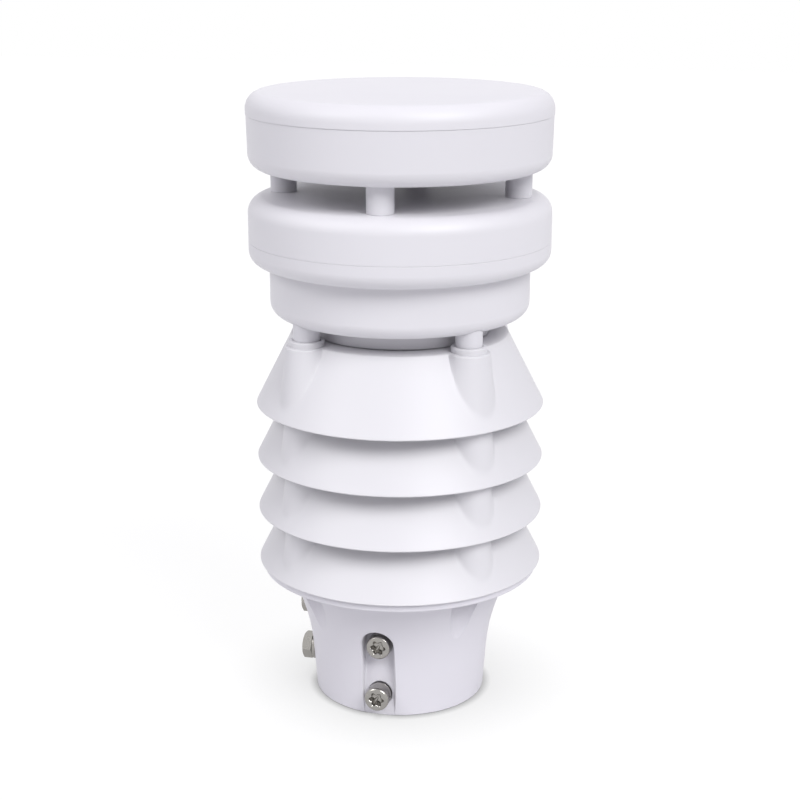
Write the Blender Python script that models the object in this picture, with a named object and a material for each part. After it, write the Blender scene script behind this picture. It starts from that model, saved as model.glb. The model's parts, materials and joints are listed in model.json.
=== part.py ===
"""Compact mast-top weather station: an ultrasonic wind head over a louvred sensor shield and a mast socket.

Lengths are in metres. The origin is the middle of the socket's lower rim, +Z is up and -Y is the front,
where the clamp groove opens. Bearings are in degrees from the front, positive towards +X.
"""

import math

import bmesh
import bpy
from mathutils import Vector

MM = 0.001

# Gap kept between two pieces that touch
FIT = 0.3 * MM

# Heights of the stack, from the mast socket up
SOCKET_HEIGHT = 54.3 * MM
FLANGE_THICKNESS = 2.9 * MM
LOUVRE_COUNT = 4
LOUVRE_PITCH = 22.2 * MM
LOUVRE_HEIGHT = 29.4 * MM
NECK_HEIGHT = 6.8 * MM
STEP_HEIGHT = 20.7 * MM
RING_HEIGHT = 9.2 * MM
COVER_HEIGHT = 17.4 * MM
WIND_GAP = 10.8 * MM
HOUSING_HEIGHT = 21.1 * MM
CAP_HEIGHT = 8.6 * MM

# Wind head shells
HEAD_RADIUS = 59.9 * MM
CAP_LIP = 0.2 * MM
HOUSING_DRAFT = 0.5 * MM
STEP_INSET = 8.1 * MM
HEAD_WALL = 2.4 * MM
CAP_FILLET = 6.5 * MM
HOUSING_FILLET = 6.0 * MM
COVER_FILLET = 6.4 * MM
RING_FILLET = 5.4 * MM
STEP_FILLET = 5.5 * MM
UPPER_FLOOR = 3.0 * MM
LOWER_FLOOR = 4.0 * MM
SPIGOT_DEPTH = 3.6 * MM
SPIGOT_WALL = 2.2 * MM
SEAL_SECTION = 1.8 * MM

# The head and the louvres are turned from the clamp groove by this bearing
HEAD_TURN = 5.0
POST_INSET = 13.1 * MM
POST_RADIUS = 5.25 * MM
POST_SPIGOT_RADIUS = 3.8 * MM
POST_BORE = 2.2 * MM

# Ultrasonic transducers and the two boards
TRANSDUCER_INSET = 31.9 * MM
TRANSDUCER_RADIUS = 5.0 * MM
TRANSDUCER_LENGTH = 9.5 * MM
TRANSDUCER_PROUD = 0.8 * MM
TRANSDUCER_FLANGE = 1.5 * MM
BOARD_THICKNESS = 1.6 * MM
BOARD_MARGIN = 4.5 * MM
BOARD_SCREW_COUNT = 3
STANDOFF_INSET = 23.4 * MM
STANDOFF_RADIUS = 3.2 * MM
STANDOFF_HEIGHT = 6.5 * MM
BOARD_SCREW_RADIUS = 1.25 * MM
BOARD_SCREW_HEAD = 2.6 * MM
BOARD_SCREW_EDGE = 1.0 * MM
BOARD_SCREW_CROWN = 1.8 * MM
BOARD_SCREW_LENGTH = 6.0 * MM

# Louvred shield
BOSS_INSET = 7.1 * MM
LOUVRE_RIM_INSET = 1.25 * MM
LOUVRE_TOP_INSET = 1.4 * MM
LOUVRE_BROW = 10.3 * MM
LOUVRE_WALL = 2.2 * MM
LOUVRE_LIP = 1.4 * MM
BOSS_TOP_RADIUS = 8.3 * MM
BOSS_FOOT_RADIUS = 10.3 * MM
BOSS_SKIRT = 2.5 * MM
BOSS_DROP = 0.3 * MM
COLLAR_RADIUS = 7.0 * MM
COLLAR_HEIGHT = 2.4 * MM
COLUMN_RADIUS = 5.25 * MM
COLUMN_SOCKET = 5.0 * MM
COLUMN_SEAT = 2.0 * MM
TIE_RADIUS = 2.0 * MM
TIE_SLACK = 0.45 * MM
TIE_HEAD_RADIUS = 3.5 * MM
TIE_HEAD_HEIGHT = 4.0 * MM
TIE_SINK = 2.5 * MM
TIE_NUT_RADIUS = 4.04 * MM
TIE_NUT_HEIGHT = 3.2 * MM
TIE_TAIL = 1.0 * MM

# Neck and the temperature and humidity probe that hangs from it
NECK_GAP = 3.45 * MM
STEM_RADIUS = 5.7 * MM
STEM_BORE = 3.0 * MM
STEM_FLANGE_RADIUS = 9.0 * MM
STEM_FLANGE = 2.0 * MM
STEM_LENGTH = 48.0 * MM
FILTER_WALL = 1.5 * MM
FILTER_LENGTH = 32.0 * MM
FILTER_OVERLAP = 7.0 * MM
FILTER_FILLET = 3.0 * MM
SENSOR_WIDTH = 5.0 * MM
SENSOR_THICKNESS = 1.2 * MM
SENSOR_LENGTH = 20.0 * MM
SENSOR_GRIP = 3.0 * MM

# Mast socket and the base plate on it
FLANGE_INSET = 2.25 * MM
FOOT_RADIUS = 35.1 * MM
WAIST_RADIUS = 36.5 * MM
WAIST_HEIGHT = 18.0 * MM
FLARE_ARC = 85.0 * MM
FOOT_FILLET = 1.2 * MM
MAST_BORE = 24.5 * MM
MAST_DEPTH = 40.0 * MM
RECESS_RADIUS = 20.0 * MM
WEB_THICKNESS = 7.2 * MM
HUB_RADIUS = 28.0 * MM
POCKET_RADIUS = 5.7 * MM

# Clamp grooves, screws and bolts
GROOVE_WIDTH = 13.0 * MM
GROOVE_SHALLOW = 0.8 * MM
GROOVE_LEAN = 0.13
GROOVE_TOP = 37.4 * MM
FRONT_UPPER_SEAT_WALL = 1.6 * MM
FRONT_LOWER_SEAT_WALL = 3.1 * MM
SIDE_SEAT_WALL = 1.1 * MM
SEAT_SLACK = 0.4 * MM
CLAMP_LOW = 8.7 * MM
CLAMP_SPACING = 21.5 * MM
SIDE_RAISE = 2.8 * MM
CLAMP_THREAD = 2.9 * MM
CLAMP_HOLE_SLACK = 0.35 * MM
CLAMP_CHAMFER = 0.65 * MM
CAP_SCREW_HEAD = 5.0 * MM
CAP_SCREW_HEIGHT = 6.0 * MM
CAP_SCREW_LENGTH = 12.0 * MM
STAR_KEY = 2.4 * MM
STAR_KEY_LOBE = 0.4 * MM
STAR_KEY_LOBES = 6
STAR_KEY_DEPTH = 3.0 * MM
HEX_HEAD = 5.77 * MM
HEX_HEIGHT = 4.0 * MM
HEX_LENGTH = 16.0 * MM
FRONT_WASHER = 5.0 * MM
FRONT_WASHER_THICKNESS = 1.2 * MM
SIDE_WASHER = 6.0 * MM
SIDE_WASHER_THICKNESS = 1.6 * MM
FRONT_UPPER_LIFT = 0.3 * MM
FRONT_LOWER_LIFT = 1.6 * MM
SIDE_LIFT = 6.9 * MM
BAR_WIDTH = 10.0 * MM
BAR_THICKNESS = 3.0 * MM
BAR_MARGIN = 6.0 * MM

# Panel connector and the harness
CONNECTOR_RADIUS = 6.0 * MM
CONNECTOR_CUP = 4.8 * MM
CONNECTOR_CUP_DEPTH = 5.5 * MM
CONNECTOR_FLANGE_RADIUS = 9.5 * MM
CONNECTOR_FLANGE = 2.5 * MM
CONNECTOR_RECESS = 1.0 * MM
GASKET_THICKNESS = 1.5 * MM
PANEL_NUT_RADIUS = 9.8 * MM
PANEL_NUT_HEIGHT = 4.0 * MM
PANEL_NUT_TAIL = 2.5 * MM
CONTACT_DISC = 1.6 * MM
CONTACT_RADIUS = 0.6 * MM
CONTACT_LENGTH = 2.6 * MM
CONTACT_CIRCLE = 2.4 * MM
CONTACT_COUNT = 5
CABLE_RADIUS = 2.5 * MM
CABLE_INSET_ACROSS = 39.9 * MM
CABLE_INSET_BACK = 46.9 * MM
CABLE_STRAIGHT = 6.0 * MM
CABLE_SWING = 27.0 * MM
GROMMET_WALL = 1.9 * MM
GROMMET_FLANGE = 1.2 * MM

# Facets of the round pieces
LARGE_STEPS = 32
BOSS_STEPS = 10
SMALL_STEPS = 8
STAR_STEPS = 36
FILLET_STEPS = 3
CABLE_STEPS = 3
CABLE_BEVEL_STEPS = 2
SMOOTH_ANGLE = 35.0
WELD_DISTANCE = FIT / 100

SIDES = {"front": 0.0, "right": 90.0, "back": 180.0, "left": 270.0}
CORNERS = {"front_right": 45.0, "back_right": 135.0, "back_left": 225.0, "front_left": 315.0}

# Levels and radii that follow from the sizes above
FLANGE_TOP = SOCKET_HEIGHT + FLANGE_THICKNESS
WEB_FOOT = FLANGE_TOP - WEB_THICKNESS
SHIELD_FOOT = FLANGE_TOP + FIT
SHIELD_TOP = SHIELD_FOOT + (LOUVRE_COUNT - 1) * LOUVRE_PITCH + LOUVRE_HEIGHT
NECK_FOOT = SHIELD_TOP + FIT
NECK_TOP = NECK_FOOT + NECK_HEIGHT
STEP_FOOT = NECK_TOP + FIT
RING_FOOT = STEP_FOOT + STEP_HEIGHT
DISC_SEAM = RING_FOOT + RING_HEIGHT
DISC_TOP = DISC_SEAM + COVER_HEIGHT
HOUSING_FOOT = DISC_TOP + WIND_GAP
CAP_SEAM = HOUSING_FOOT + HOUSING_HEIGHT
HEAD_TOP = CAP_SEAM + CAP_HEIGHT

SHELL_BORE = HEAD_RADIUS - HEAD_WALL
SPIGOT_RADIUS = SHELL_BORE - FIT
SPIGOT_BORE = SPIGOT_RADIUS - SPIGOT_WALL
LEDGE_DEPTH = SPIGOT_DEPTH + SEAL_SECTION + 2 * FIT
STEP_RADIUS = HEAD_RADIUS - STEP_INSET
STEP_BORE = STEP_RADIUS - HEAD_WALL
POST_CIRCLE = HEAD_RADIUS - POST_INSET
TRANSDUCER_CIRCLE = HEAD_RADIUS - TRANSDUCER_INSET
STANDOFF_CIRCLE = HEAD_RADIUS - STANDOFF_INSET
BOSS_CIRCLE = STEP_RADIUS - BOSS_INSET
LOUVRE_RIM_RADIUS = HEAD_RADIUS - LOUVRE_RIM_INSET
LOUVRE_TOP_RADIUS = BOSS_CIRCLE - LOUVRE_TOP_INSET
LOUVRE_MOUTH = LOUVRE_TOP_RADIUS - LOUVRE_BROW
FLANGE_RADIUS = LOUVRE_RIM_RADIUS - FLANGE_INSET
NECK_RADIUS = BOSS_CIRCLE - COLUMN_RADIUS - NECK_GAP
BOSS_TOP = LOUVRE_HEIGHT - BOSS_DROP
BOSS_SEAT = BOSS_TOP - LOUVRE_PITCH + FIT
BOSS_DRAFT = (BOSS_FOOT_RADIUS - BOSS_TOP_RADIUS) / (BOSS_TOP - BOSS_SEAT + BOSS_SKIRT)
TIE_HOLE = TIE_RADIUS + TIE_SLACK
CLAMP_HOLE = CLAMP_THREAD + CLAMP_HOLE_SLACK
GROOVE_FOOT = FOOT_RADIUS - GROOVE_SHALLOW
BAR_FACE = MAST_BORE + BAR_THICKNESS + 2 * FIT
FRONT_UPPER_SEAT = BAR_FACE + FRONT_UPPER_SEAT_WALL
FRONT_LOWER_SEAT = BAR_FACE + FRONT_LOWER_SEAT_WALL
SIDE_SEAT = BAR_FACE + SIDE_SEAT_WALL
BOARD_RADIUS = STANDOFF_CIRCLE + BOARD_MARGIN
STANDOFF_HOLE = BOARD_SCREW_RADIUS + FIT
GROMMET_RADIUS = CABLE_RADIUS + FIT + GROMMET_WALL
CABLE_PLACE = (HEAD_RADIUS - CABLE_INSET_ACROSS, HEAD_RADIUS - CABLE_INSET_BACK)


def finish(name, colour, roughness, metallic=0.0):
    """A plain Principled material."""
    material = bpy.data.materials.new(name)
    material.use_nodes = True
    shader = material.node_tree.nodes["Principled BSDF"]
    shader.inputs["Base Color"].default_value = (*colour, 1.0)
    shader.inputs["Roughness"].default_value = roughness
    shader.inputs["Metallic"].default_value = metallic
    return material


def around(radius, bearing, height=0.0):
    """The point at a radius and bearing from the mast axis."""
    angle = math.radians(bearing)
    return Vector((radius * math.sin(angle), -radius * math.cos(angle), height))


def outward(bearing):
    """The rotation that turns a piece's own +Z to face out along a bearing."""
    return (math.pi / 2, 0.0, math.radians(bearing))


def filleted(corners):
    """An outline through corners (radius, height) or (radius, height, fillet), with round fillets."""
    points = []
    count = len(corners)
    for index, corner in enumerate(corners):
        here = Vector(corner[:2])
        if len(corner) == 2:
            points.append(here)
            continue
        before = (Vector(corners[index - 1][:2]) - here).normalized()
        after = (Vector(corners[(index + 1) % count][:2]) - here).normalized()
        half = before.angle(after) / 2
        middle = here + (before + after).normalized() * corner[2] / math.sin(half)
        start = here + before * corner[2] / math.tan(half) - middle
        sweep = start.angle_signed(here + after * corner[2] / math.tan(half) - middle)
        for step in range(FILLET_STEPS + 1):
            turn = -sweep * step / FILLET_STEPS
            spoke = Vector((
                start.x * math.cos(turn) - start.y * math.sin(turn),
                start.x * math.sin(turn) + start.y * math.cos(turn),
            ))
            points.append(middle + spoke)
    return points


def turned(name, outline, steps):
    """A mesh turned about Z from a closed outline of (radius, height) points."""
    shape = bmesh.new()
    ring = [shape.verts.new((radius, 0.0, height)) for radius, height in outline]
    for index, vertex in enumerate(ring):
        before = ring[index - 1]
        if before.co.x > 0.0 or vertex.co.x > 0.0:
            shape.edges.new((before, vertex))
    bmesh.ops.spin(
        shape,
        geom=shape.verts[:] + shape.edges[:],
        cent=(0.0, 0.0, 0.0),
        axis=(0.0, 0.0, 1.0),
        angle=2 * math.pi,
        steps=steps,
        use_merge=True,
    )
    bmesh.ops.remove_doubles(shape, verts=shape.verts[:], dist=WELD_DISTANCE)
    flat_ends = [vertex for vertex in shape.verts if is_flat_end(vertex)]
    bmesh.ops.dissolve_verts(shape, verts=flat_ends)
    bmesh.ops.recalc_face_normals(shape, faces=shape.faces[:])
    mesh = bpy.data.meshes.new(name)
    shape.to_mesh(mesh)
    shape.free()
    return mesh


def is_flat_end(vertex):
    """Whether a vertex is the middle of a flat round end, which is better as one face."""
    if vertex.co.xy.length > WELD_DISTANCE:
        return False
    rises = [edge.other_vert(vertex).co.z - vertex.co.z for edge in vertex.link_edges]
    return all(abs(rise) < WELD_DISTANCE for rise in rises)


def rod(name, radius, low, high, steps):
    """A plain round bar between two heights."""
    return turned(name, [(0.0, high), (radius, high), (radius, low), (0.0, low)], steps)


def tube(name, radius, bore, low, high, steps):
    """A plain round tube between two heights."""
    return turned(name, [(bore, high), (radius, high), (radius, low), (bore, low)], steps)


def block(name, low, high):
    """A box between two corners."""
    shape = bmesh.new()
    bmesh.ops.create_cube(shape, size=1.0)
    low, high = Vector(low), Vector(high)
    for vertex in shape.verts:
        vertex.co = Vector((a * b for a, b in zip(vertex.co, high - low))) + (low + high) / 2
    mesh = bpy.data.meshes.new(name)
    shape.to_mesh(mesh)
    shape.free()
    return mesh


def prism(name, foot, top):
    """A bar from a flat outline of points up to one height."""
    shape = bmesh.new()
    face = shape.faces.new([shape.verts.new(point) for point in foot])
    extruded = bmesh.ops.extrude_face_region(shape, geom=[face])
    for item in extruded["geom"]:
        if isinstance(item, bmesh.types.BMVert):
            item.co.z = top
    bmesh.ops.recalc_face_normals(shape, faces=shape.faces[:])
    mesh = bpy.data.meshes.new(name)
    shape.to_mesh(mesh)
    shape.free()
    return mesh


def place(name, mesh, location=(0.0, 0.0, 0.0), rotation=(0.0, 0.0, 0.0)):
    """An object for a mesh, standing where the piece goes."""
    thing = bpy.data.objects.new(name, mesh)
    bpy.context.scene.collection.objects.link(thing)
    thing.location = location
    thing.rotation_euler = rotation
    return thing


def piece(name, mesh, material, location=(0.0, 0.0, 0.0), rotation=(0.0, 0.0, 0.0)):
    """A finished piece of the station, shaded smooth up to its sharp edges."""
    thing = place(name, mesh, location, rotation)
    if not mesh.materials:
        mesh.materials.append(material)
    mesh.shade_smooth()
    mesh.set_sharp_from_angle(angle=math.radians(SMOOTH_ANGLE))
    return thing


def hidden(name, mesh, location=(0.0, 0.0, 0.0), rotation=(0.0, 0.0, 0.0)):
    """A shape that only the Booleans use, kept out of the finished station."""
    thing = place(name, mesh, location, rotation)
    thing.hide_render = True
    thing.display_type = "WIRE"
    return thing


def shape_with(thing, mesh, operation, location=(0.0, 0.0, 0.0), rotation=(0.0, 0.0, 0.0)):
    """Adds a mesh to a piece, cuts it away or keeps what they share, with a hidden tool."""
    tool = hidden(f"{thing.name}_{operation.lower()}_{len(thing.modifiers)}", mesh, location, rotation)
    boolean = thing.modifiers.new(operation.title(), "BOOLEAN")
    boolean.operation = operation
    boolean.object = tool


def finished_mesh(thing):
    """The mesh of a piece with its modifiers applied."""
    graph = bpy.context.evaluated_depsgraph_get()
    return bpy.data.meshes.new_from_object(thing.evaluated_get(graph))


def hexagon(name, radius, low, high):
    """A hexagonal bar between two heights, its corners at the given radius."""
    return rod(name, radius, low, high, 6)


def seal(name, low, material):
    """A flat seal ring between a shell's ledge and the other shell's spigot."""
    ring = tube(name, SPIGOT_RADIUS, SPIGOT_BORE, low, low + SEAL_SECTION, LARGE_STEPS)
    piece(name, ring, material)


def top_cap(material):
    """The lid: a shallow round-edged cup with a spigot that enters the wind housing."""
    rim = CAP_SEAM + FIT / 2
    outline = filleted([
        (0.0, HEAD_TOP),
        (HEAD_RADIUS + CAP_LIP, HEAD_TOP, CAP_FILLET),
        (HEAD_RADIUS + CAP_LIP, rim),
        (SPIGOT_RADIUS, rim),
        (SPIGOT_RADIUS, CAP_SEAM - SPIGOT_DEPTH),
        (SPIGOT_BORE, CAP_SEAM - SPIGOT_DEPTH),
        (SPIGOT_BORE, HEAD_TOP - HEAD_WALL),
        (0.0, HEAD_TOP - HEAD_WALL),
    ])
    piece("top_cap", turned("top_cap", outline, LARGE_STEPS), material)


def standoffs(thing, floor):
    """Adds the board's screw standoffs to a housing, each with a blind hole."""
    top = floor + STANDOFF_HEIGHT
    pin = rod("standoff", STANDOFF_RADIUS, floor - UPPER_FLOOR / 2, top, SMALL_STEPS)
    hole = rod("standoff_hole", STANDOFF_HOLE, top - BOARD_SCREW_LENGTH, top + FIT, SMALL_STEPS)
    for number in range(BOARD_SCREW_COUNT):
        spot = around(STANDOFF_CIRCLE, HEAD_TURN + 360.0 * number / BOARD_SCREW_COUNT)
        shape_with(thing, pin, "UNION", spot)
        shape_with(thing, hole, "DIFFERENCE", spot)


def board(name, screw_name, floor, material, screw_material):
    """A round circuit board on its standoffs, with its screws."""
    low = floor + STANDOFF_HEIGHT + FIT
    high = low + BOARD_THICKNESS
    plate = piece(name, rod(name, BOARD_RADIUS, low, high, LARGE_STEPS), material)
    hole = rod("board_hole", STANDOFF_HOLE, low - FIT, high + FIT, SMALL_STEPS)
    seat = high + FIT
    tip = seat - BOARD_SCREW_LENGTH
    outline = [
        (0.0, seat + BOARD_SCREW_CROWN),
        (BOARD_SCREW_HEAD, seat + BOARD_SCREW_EDGE),
        (BOARD_SCREW_HEAD, seat),
        (BOARD_SCREW_RADIUS, seat),
        (BOARD_SCREW_RADIUS, tip),
        (0.0, tip),
    ]
    screw = turned(screw_name, outline, SMALL_STEPS)
    for number in range(BOARD_SCREW_COUNT):
        spot = around(STANDOFF_CIRCLE, HEAD_TURN + 360.0 * number / BOARD_SCREW_COUNT)
        shape_with(plate, hole, "DIFFERENCE", spot)
        piece(f"{screw_name}_{number + 1}", screw, screw_material, spot)


def wind_housing(material):
    """The upper shell: a cup with holes for the transducers and the posts in its floor."""
    rim = CAP_SEAM - FIT / 2
    ledge = CAP_SEAM - LEDGE_DEPTH
    floor = HOUSING_FOOT + UPPER_FLOOR
    outline = filleted([
        (SHELL_BORE, rim),
        (HEAD_RADIUS, rim),
        (HEAD_RADIUS - HOUSING_DRAFT, HOUSING_FOOT, HOUSING_FILLET),
        (0.0, HOUSING_FOOT),
        (0.0, floor),
        (SPIGOT_BORE, floor),
        (SPIGOT_BORE, ledge),
        (SHELL_BORE, ledge),
    ])
    shell = piece("wind_housing", turned("wind_housing", outline, LARGE_STEPS), material)
    low, high = HOUSING_FOOT - UPPER_FLOOR, floor + UPPER_FLOOR
    sound_hole = rod("sound_hole", TRANSDUCER_RADIUS + FIT, low, high, BOSS_STEPS)
    for bearing in CORNERS.values():
        shape_with(shell, sound_hole, "DIFFERENCE", around(TRANSDUCER_CIRCLE, HEAD_TURN + bearing))
    post_hole = rod("post_hole", POST_SPIGOT_RADIUS + FIT, low, high, SMALL_STEPS)
    for bearing in SIDES.values():
        shape_with(shell, post_hole, "DIFFERENCE", around(POST_CIRCLE, HEAD_TURN + bearing))
    standoffs(shell, floor)


def transducers(material):
    """Four ultrasonic transducers that face down into the wind gap, each held by a flange."""
    seat = HOUSING_FOOT + UPPER_FLOOR + FIT
    low = HOUSING_FOOT - TRANSDUCER_PROUD
    outline = [
        (0.0, low + TRANSDUCER_LENGTH),
        (TRANSDUCER_RADIUS, low + TRANSDUCER_LENGTH),
        (TRANSDUCER_RADIUS, seat + TRANSDUCER_FLANGE),
        (TRANSDUCER_RADIUS + TRANSDUCER_FLANGE, seat + TRANSDUCER_FLANGE),
        (TRANSDUCER_RADIUS + TRANSDUCER_FLANGE, seat),
        (TRANSDUCER_RADIUS, seat),
        (TRANSDUCER_RADIUS, low),
        (0.0, low),
    ]
    mesh = turned("transducer", outline, BOSS_STEPS)
    for corner, bearing in CORNERS.items():
        piece(f"transducer_{corner}", mesh, material, around(TRANSDUCER_CIRCLE, HEAD_TURN + bearing))


def wind_posts(material):
    """Four hollow posts across the wind gap, with a spigot at each end."""
    low, high = DISC_TOP + FIT, HOUSING_FOOT - FIT
    spigot = UPPER_FLOOR - FIT
    outline = [
        (POST_BORE, high + spigot),
        (POST_SPIGOT_RADIUS, high + spigot),
        (POST_SPIGOT_RADIUS, high),
        (POST_RADIUS, high),
        (POST_RADIUS, low),
        (POST_SPIGOT_RADIUS, low),
        (POST_SPIGOT_RADIUS, low - spigot),
        (POST_BORE, low - spigot),
    ]
    mesh = turned("wind_post", outline, BOSS_STEPS)
    for side, bearing in SIDES.items():
        piece(f"wind_post_{side}", mesh, material, around(POST_CIRCLE, HEAD_TURN + bearing))


def reflector_cover(material):
    """The flat disc under the wind gap, which reflects the sound."""
    rim = DISC_SEAM + FIT / 2
    ledge = DISC_SEAM + LEDGE_DEPTH
    ceiling = DISC_TOP - UPPER_FLOOR
    outline = filleted([
        (0.0, DISC_TOP),
        (HEAD_RADIUS, DISC_TOP, COVER_FILLET),
        (HEAD_RADIUS, rim),
        (SHELL_BORE, rim),
        (SHELL_BORE, ledge),
        (SPIGOT_BORE, ledge),
        (SPIGOT_BORE, ceiling),
        (0.0, ceiling),
    ])
    cover = piece("reflector_cover", turned("reflector_cover", outline, LARGE_STEPS), material)
    hole = rod("post_seat", POST_SPIGOT_RADIUS + FIT, ceiling - FIT, DISC_TOP + FIT, SMALL_STEPS)
    for bearing in SIDES.values():
        shape_with(cover, hole, "DIFFERENCE", around(POST_CIRCLE, HEAD_TURN + bearing))


def lower_housing(material):
    """The lower shell: a ring, a smaller step below it, and seats for the columns in its floor."""
    rim = DISC_SEAM - FIT / 2
    floor = STEP_FOOT + LOWER_FLOOR
    outline = filleted([
        (SPIGOT_BORE, DISC_SEAM + SPIGOT_DEPTH),
        (SPIGOT_RADIUS, DISC_SEAM + SPIGOT_DEPTH),
        (SPIGOT_RADIUS, rim),
        (HEAD_RADIUS, rim),
        (HEAD_RADIUS, RING_FOOT, RING_FILLET),
        (STEP_RADIUS, RING_FOOT),
        (STEP_RADIUS, STEP_FOOT, STEP_FILLET),
        (0.0, STEP_FOOT),
        (0.0, floor),
        (STEP_BORE, floor),
        (STEP_BORE, RING_FOOT + HEAD_WALL),
        (SPIGOT_BORE, RING_FOOT + HEAD_WALL),
    ])
    shell = piece("lower_housing", turned("lower_housing", outline, LARGE_STEPS), material)
    seat_outline = [
        (0.0, floor + FIT),
        (TIE_HOLE, floor + FIT),
        (TIE_HOLE, STEP_FOOT + COLUMN_SEAT),
        (COLUMN_RADIUS + FIT, STEP_FOOT + COLUMN_SEAT),
        (COLUMN_RADIUS + FIT, STEP_FOOT - FIT),
        (0.0, STEP_FOOT - FIT),
    ]
    seat = turned("column_seat", seat_outline, BOSS_STEPS)
    for bearing in CORNERS.values():
        shape_with(shell, seat, "DIFFERENCE", around(BOSS_CIRCLE, HEAD_TURN + bearing))
    cable_hole = rod("cable_hole", GROMMET_RADIUS + FIT, STEP_FOOT - FIT, floor + FIT, SMALL_STEPS)
    shape_with(shell, cable_hole, "DIFFERENCE", (*CABLE_PLACE, 0.0))
    standoffs(shell, floor)


def neck(material):
    """The disc between the shield and the lower housing, which carries the probe."""
    bore, seat = STEM_RADIUS + FIT, STEM_FLANGE_RADIUS + FIT
    shelf = NECK_TOP - STEM_FLANGE - 2 * FIT
    outline = [
        (seat, NECK_TOP),
        (NECK_RADIUS, NECK_TOP),
        (NECK_RADIUS, NECK_FOOT),
        (bore, NECK_FOOT),
        (bore, shelf),
        (seat, shelf),
    ]
    disc = piece("neck", turned("neck", outline, LARGE_STEPS), material)
    hole = rod("neck_cable_hole", GROMMET_RADIUS, NECK_FOOT - FIT, NECK_TOP + FIT, SMALL_STEPS)
    shape_with(disc, hole, "DIFFERENCE", (*CABLE_PLACE, 0.0))


def probe(stem_material, filter_material, sensor_material):
    """The temperature and humidity probe: a flanged stem, its filter cup and the sensor strip inside."""
    top = NECK_TOP - FIT
    tip = top - STEM_LENGTH
    stem = [
        (STEM_BORE, top),
        (STEM_FLANGE_RADIUS, top),
        (STEM_FLANGE_RADIUS, top - STEM_FLANGE),
        (STEM_RADIUS, top - STEM_FLANGE),
        (STEM_RADIUS, tip),
        (STEM_BORE, tip),
    ]
    piece("probe_stem", turned("probe_stem", stem, BOSS_STEPS), stem_material)
    bore = STEM_RADIUS + FIT
    mouth = tip + FILTER_OVERLAP
    cup = filleted([
        (bore, mouth),
        (bore + FILTER_WALL, mouth),
        (bore + FILTER_WALL, mouth - FILTER_LENGTH, FILTER_FILLET),
        (0.0, mouth - FILTER_LENGTH),
        (0.0, mouth - FILTER_LENGTH + FILTER_WALL),
        (bore, mouth - FILTER_LENGTH + FILTER_WALL),
    ])
    piece("probe_filter", turned("probe_filter", cup, BOSS_STEPS), filter_material)
    half_width, half_thickness = SENSOR_WIDTH / 2, SENSOR_THICKNESS / 2
    strip_top = tip + SENSOR_GRIP
    strip = block(
        "humidity_sensor",
        (-half_width, -half_thickness, strip_top - SENSOR_LENGTH),
        (half_width, half_thickness, strip_top),
    )
    piece("humidity_sensor", strip, sensor_material)


def boss_radius(height):
    """The drafted radius of a boss at a height above its louvre's rim."""
    return BOSS_TOP_RADIUS + (BOSS_TOP - height) * BOSS_DRAFT


def boss_outline(low):
    """A boss with its collar, solid, from a low end to its top."""
    return [
        (0.0, BOSS_TOP + COLLAR_HEIGHT),
        (COLLAR_RADIUS, BOSS_TOP + COLLAR_HEIGHT),
        (COLLAR_RADIUS, BOSS_TOP),
        (BOSS_TOP_RADIUS, BOSS_TOP),
        (boss_radius(low), low),
        (0.0, low),
    ]


def louvres(material):
    """Four alike cone louvres, whose bosses nest on the bosses below them."""
    slope = (LOUVRE_RIM_RADIUS - LOUVRE_TOP_RADIUS) / LOUVRE_HEIGHT
    across = LOUVRE_WALL * math.hypot(1.0, slope)
    under = LOUVRE_HEIGHT - LOUVRE_WALL
    shell_outline = filleted([
        (LOUVRE_MOUTH, LOUVRE_HEIGHT),
        (LOUVRE_TOP_RADIUS, LOUVRE_HEIGHT),
        (LOUVRE_RIM_RADIUS, 0.0, LOUVRE_LIP),
        (LOUVRE_RIM_RADIUS - across, 0.0),
        (LOUVRE_TOP_RADIUS + slope * LOUVRE_WALL - across, under),
        (LOUVRE_MOUTH, under),
    ])
    shell = hidden("louvre_shape", turned("louvre_shell", shell_outline, LARGE_STEPS))
    skirt = BOSS_SEAT - BOSS_SKIRT
    boss = turned("boss", boss_outline(skirt), BOSS_STEPS)
    top = BOSS_TOP + COLLAR_HEIGHT
    nest_low = -FIT
    nest_high = BOSS_SEAT + COLLAR_HEIGHT + FIT
    bore_outline = [
        (0.0, top + FIT),
        (COLUMN_RADIUS + FIT, top + FIT),
        (COLUMN_RADIUS + FIT, top - COLUMN_SOCKET),
        (TIE_HOLE, top - COLUMN_SOCKET),
        (TIE_HOLE, nest_high),
        (COLLAR_RADIUS + FIT, nest_high),
        (COLLAR_RADIUS + FIT, BOSS_SEAT),
        (BOSS_TOP_RADIUS + FIT, BOSS_SEAT),
        (boss_radius(nest_low + LOUVRE_PITCH) + FIT, nest_low),
        (0.0, nest_low),
    ]
    bore = turned("boss_bore", bore_outline, BOSS_STEPS)
    for bearing in CORNERS.values():
        spot = around(BOSS_CIRCLE, HEAD_TURN + bearing)
        shape_with(shell, boss, "UNION", spot)
        shape_with(shell, bore, "DIFFERENCE", spot)
    crown = LOUVRE_HEIGHT - LOUVRE_PITCH + FIT
    crown_radius = LOUVRE_TOP_RADIUS + FIT * math.hypot(1.0, slope)
    crown_foot = crown_radius + slope * (crown - nest_low)
    clearance = [(0.0, crown), (crown_radius, crown), (crown_foot, nest_low), (0.0, nest_low)]
    shape_with(shell, turned("louvre_clearance", clearance, LARGE_STEPS), "DIFFERENCE")
    mesh = finished_mesh(shell)
    for level in range(LOUVRE_COUNT):
        height = SHIELD_FOOT + level * LOUVRE_PITCH
        piece(f"louvre_{LOUVRE_COUNT - level}", mesh, material, (0.0, 0.0, height))


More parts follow.
